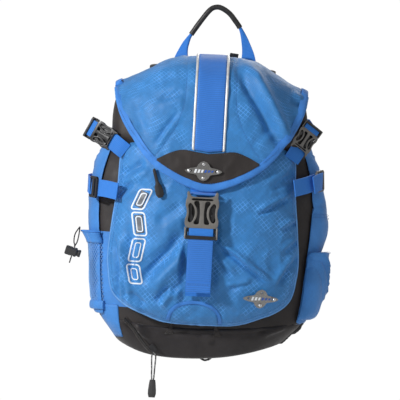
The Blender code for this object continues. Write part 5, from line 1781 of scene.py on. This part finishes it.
def make_haul_loop():
    """The loop's webbing, which narrows into a cord inside a rubber tube."""
    fine, back = 5, Vector((0, 1, 0))
    line = spline([(x, 10, z) for x, z, _, _ in LOOP], fine)
    sizes = spline([(w, t, 0) for _, _, w, t in LOOP], fine)
    rings = []
    for i, p in enumerate(line):
        ahead = heading(line, i).normalized()
        across = ahead.cross(back).normalized()
        share = i / (len(line) - 1)
        twist = (0.55 * math.exp(-((share - 0.17) / 0.07) ** 2)
                 - 0.4 * math.exp(-((share - 0.80) / 0.07) ** 2))
        side = across * math.cos(twist) + back * math.sin(twist)
        face = -across * math.sin(twist) + back * math.cos(twist)
        width, thick = sizes[i].x / 2, sizes[i].y / 2
        ring = []
        for k in range(24):
            a = 2 * math.pi * (k + 0.5) / 24
            c, s = math.cos(a), math.sin(a)
            square = 3.6 if width > 5 else 2.1
            fold = 0.8 * math.sin(c * 3.0) * smooth((width - 3) / 4) * smooth((11.6 - width) / 4)
            ring.append(p + side * width * math.copysign(abs(c) ** (2 / square), c)
                        + face * (thick * math.copysign(abs(s) ** (2 / square), s) + fold))
        rings.append(ring)
    rings_piece("haul_loop_web", rings, LOOKS["webbing"], "haul_loop", ("haul_loop",))
    sleeve = line[5 * fine:12 * fine + 1]
    rings = []
    for p, side, out in frames_along(sleeve, [back] * len(sleeve)):
        radius = 4.1 * (1 + 0.05 * noise.noise(p * 0.11) - 0.04 * math.exp(-((p.x - 3) / 5) ** 2))
        rings.append(oval(p, side, out, radius, radius, 20))
    # the tube's ends turn inwards round the webbing
    inner = [[c + (p - c) * 0.72 for p in ring] for ring, c in
             ((ring, sum(ring, Vector()) / 20) for ring in rings)]
    sleeve_rings = [inner[2], inner[0]] + rings + [inner[-1], inner[-3]]
    rings_piece("haul_loop_tube", sleeve_rings, LOOKS["rubber"], "haul_loop", ("haul_loop_sleeve",),
                caps=False)


# ---------------------------------------------------------------- cords

BASE_CORD = [(-66.0, 7.0), (-68.4, 4.4), (-69.0, 0.0), (-68.7, -8.0), (-68.2, -16.0), (-68.0, -24.0),
             (-67.6, -31.0), (-66.9, -35.4), (-66.0, -36.6), (-65.1, -35.4), (-64.4, -31.0),
             (-64.0, -24.0), (-63.8, -16.0), (-63.3, -8.0), (-63.0, 0.0), (-63.6, 4.4), (-65.9, 7.0)]
DRAW_CORD = [(-187.5, -81.6, 190), (-194.0, -81.6, 179), (-195.3, -81.6, 167.5), (-193.9, -81.6, 159.7),
             (-198.1, -81.6, 144.3), (-199.6, -82.6, 138.5), (-200.4, -80.0, 135.6),
             (-199.6, -77.4, 138.5), (-198.1, -78.4, 144.3), (-193.9, -78.4, 159.7),
             (-190.3, -78.4, 167.5), (-188.1, -78.4, 180), (-187.5, -78.4, 190)]


def hang(name, path, thick, look, body, node):
    """A free cord on its route, drawn as a tube."""
    cord = tube(name, path, thick / 2, LOOKS[look], body, (node,))


def make_cords():
    """The doubled cord of the base zip's pull, and the drawcord that runs through its lock."""
    y = sum(corner.y for corner in box_of("base_zip_grip")) / 2
    hang("base_pull_cord", spline([(x, y, z) for x, z in BASE_CORD], 4), 2.3, "cord", "base_pull",
         "base_zip_cord")
    hang("pocket_drawcord", spline(DRAW_CORD, 5), 2.0, "dark_cord", "cord_lock", "mesh_pocket_drawcord")


# ---------------------------------------------------------------- the pack

make_camera()
make_looks()
make_cords()
make_studio()
THE_LID = Lid()
make_lid(THE_LID)
POCKET_SKIN = make_front_pocket()
make_pocket_print(POCKET_SKIN)
make_arch(POCKET_SKIN)
make_bag()
make_harness()
make_hard_parts()
make_straps()
make_zips(POCKET_SKIN, Skin(NODES["base_panel"]))
make_haul_loop()
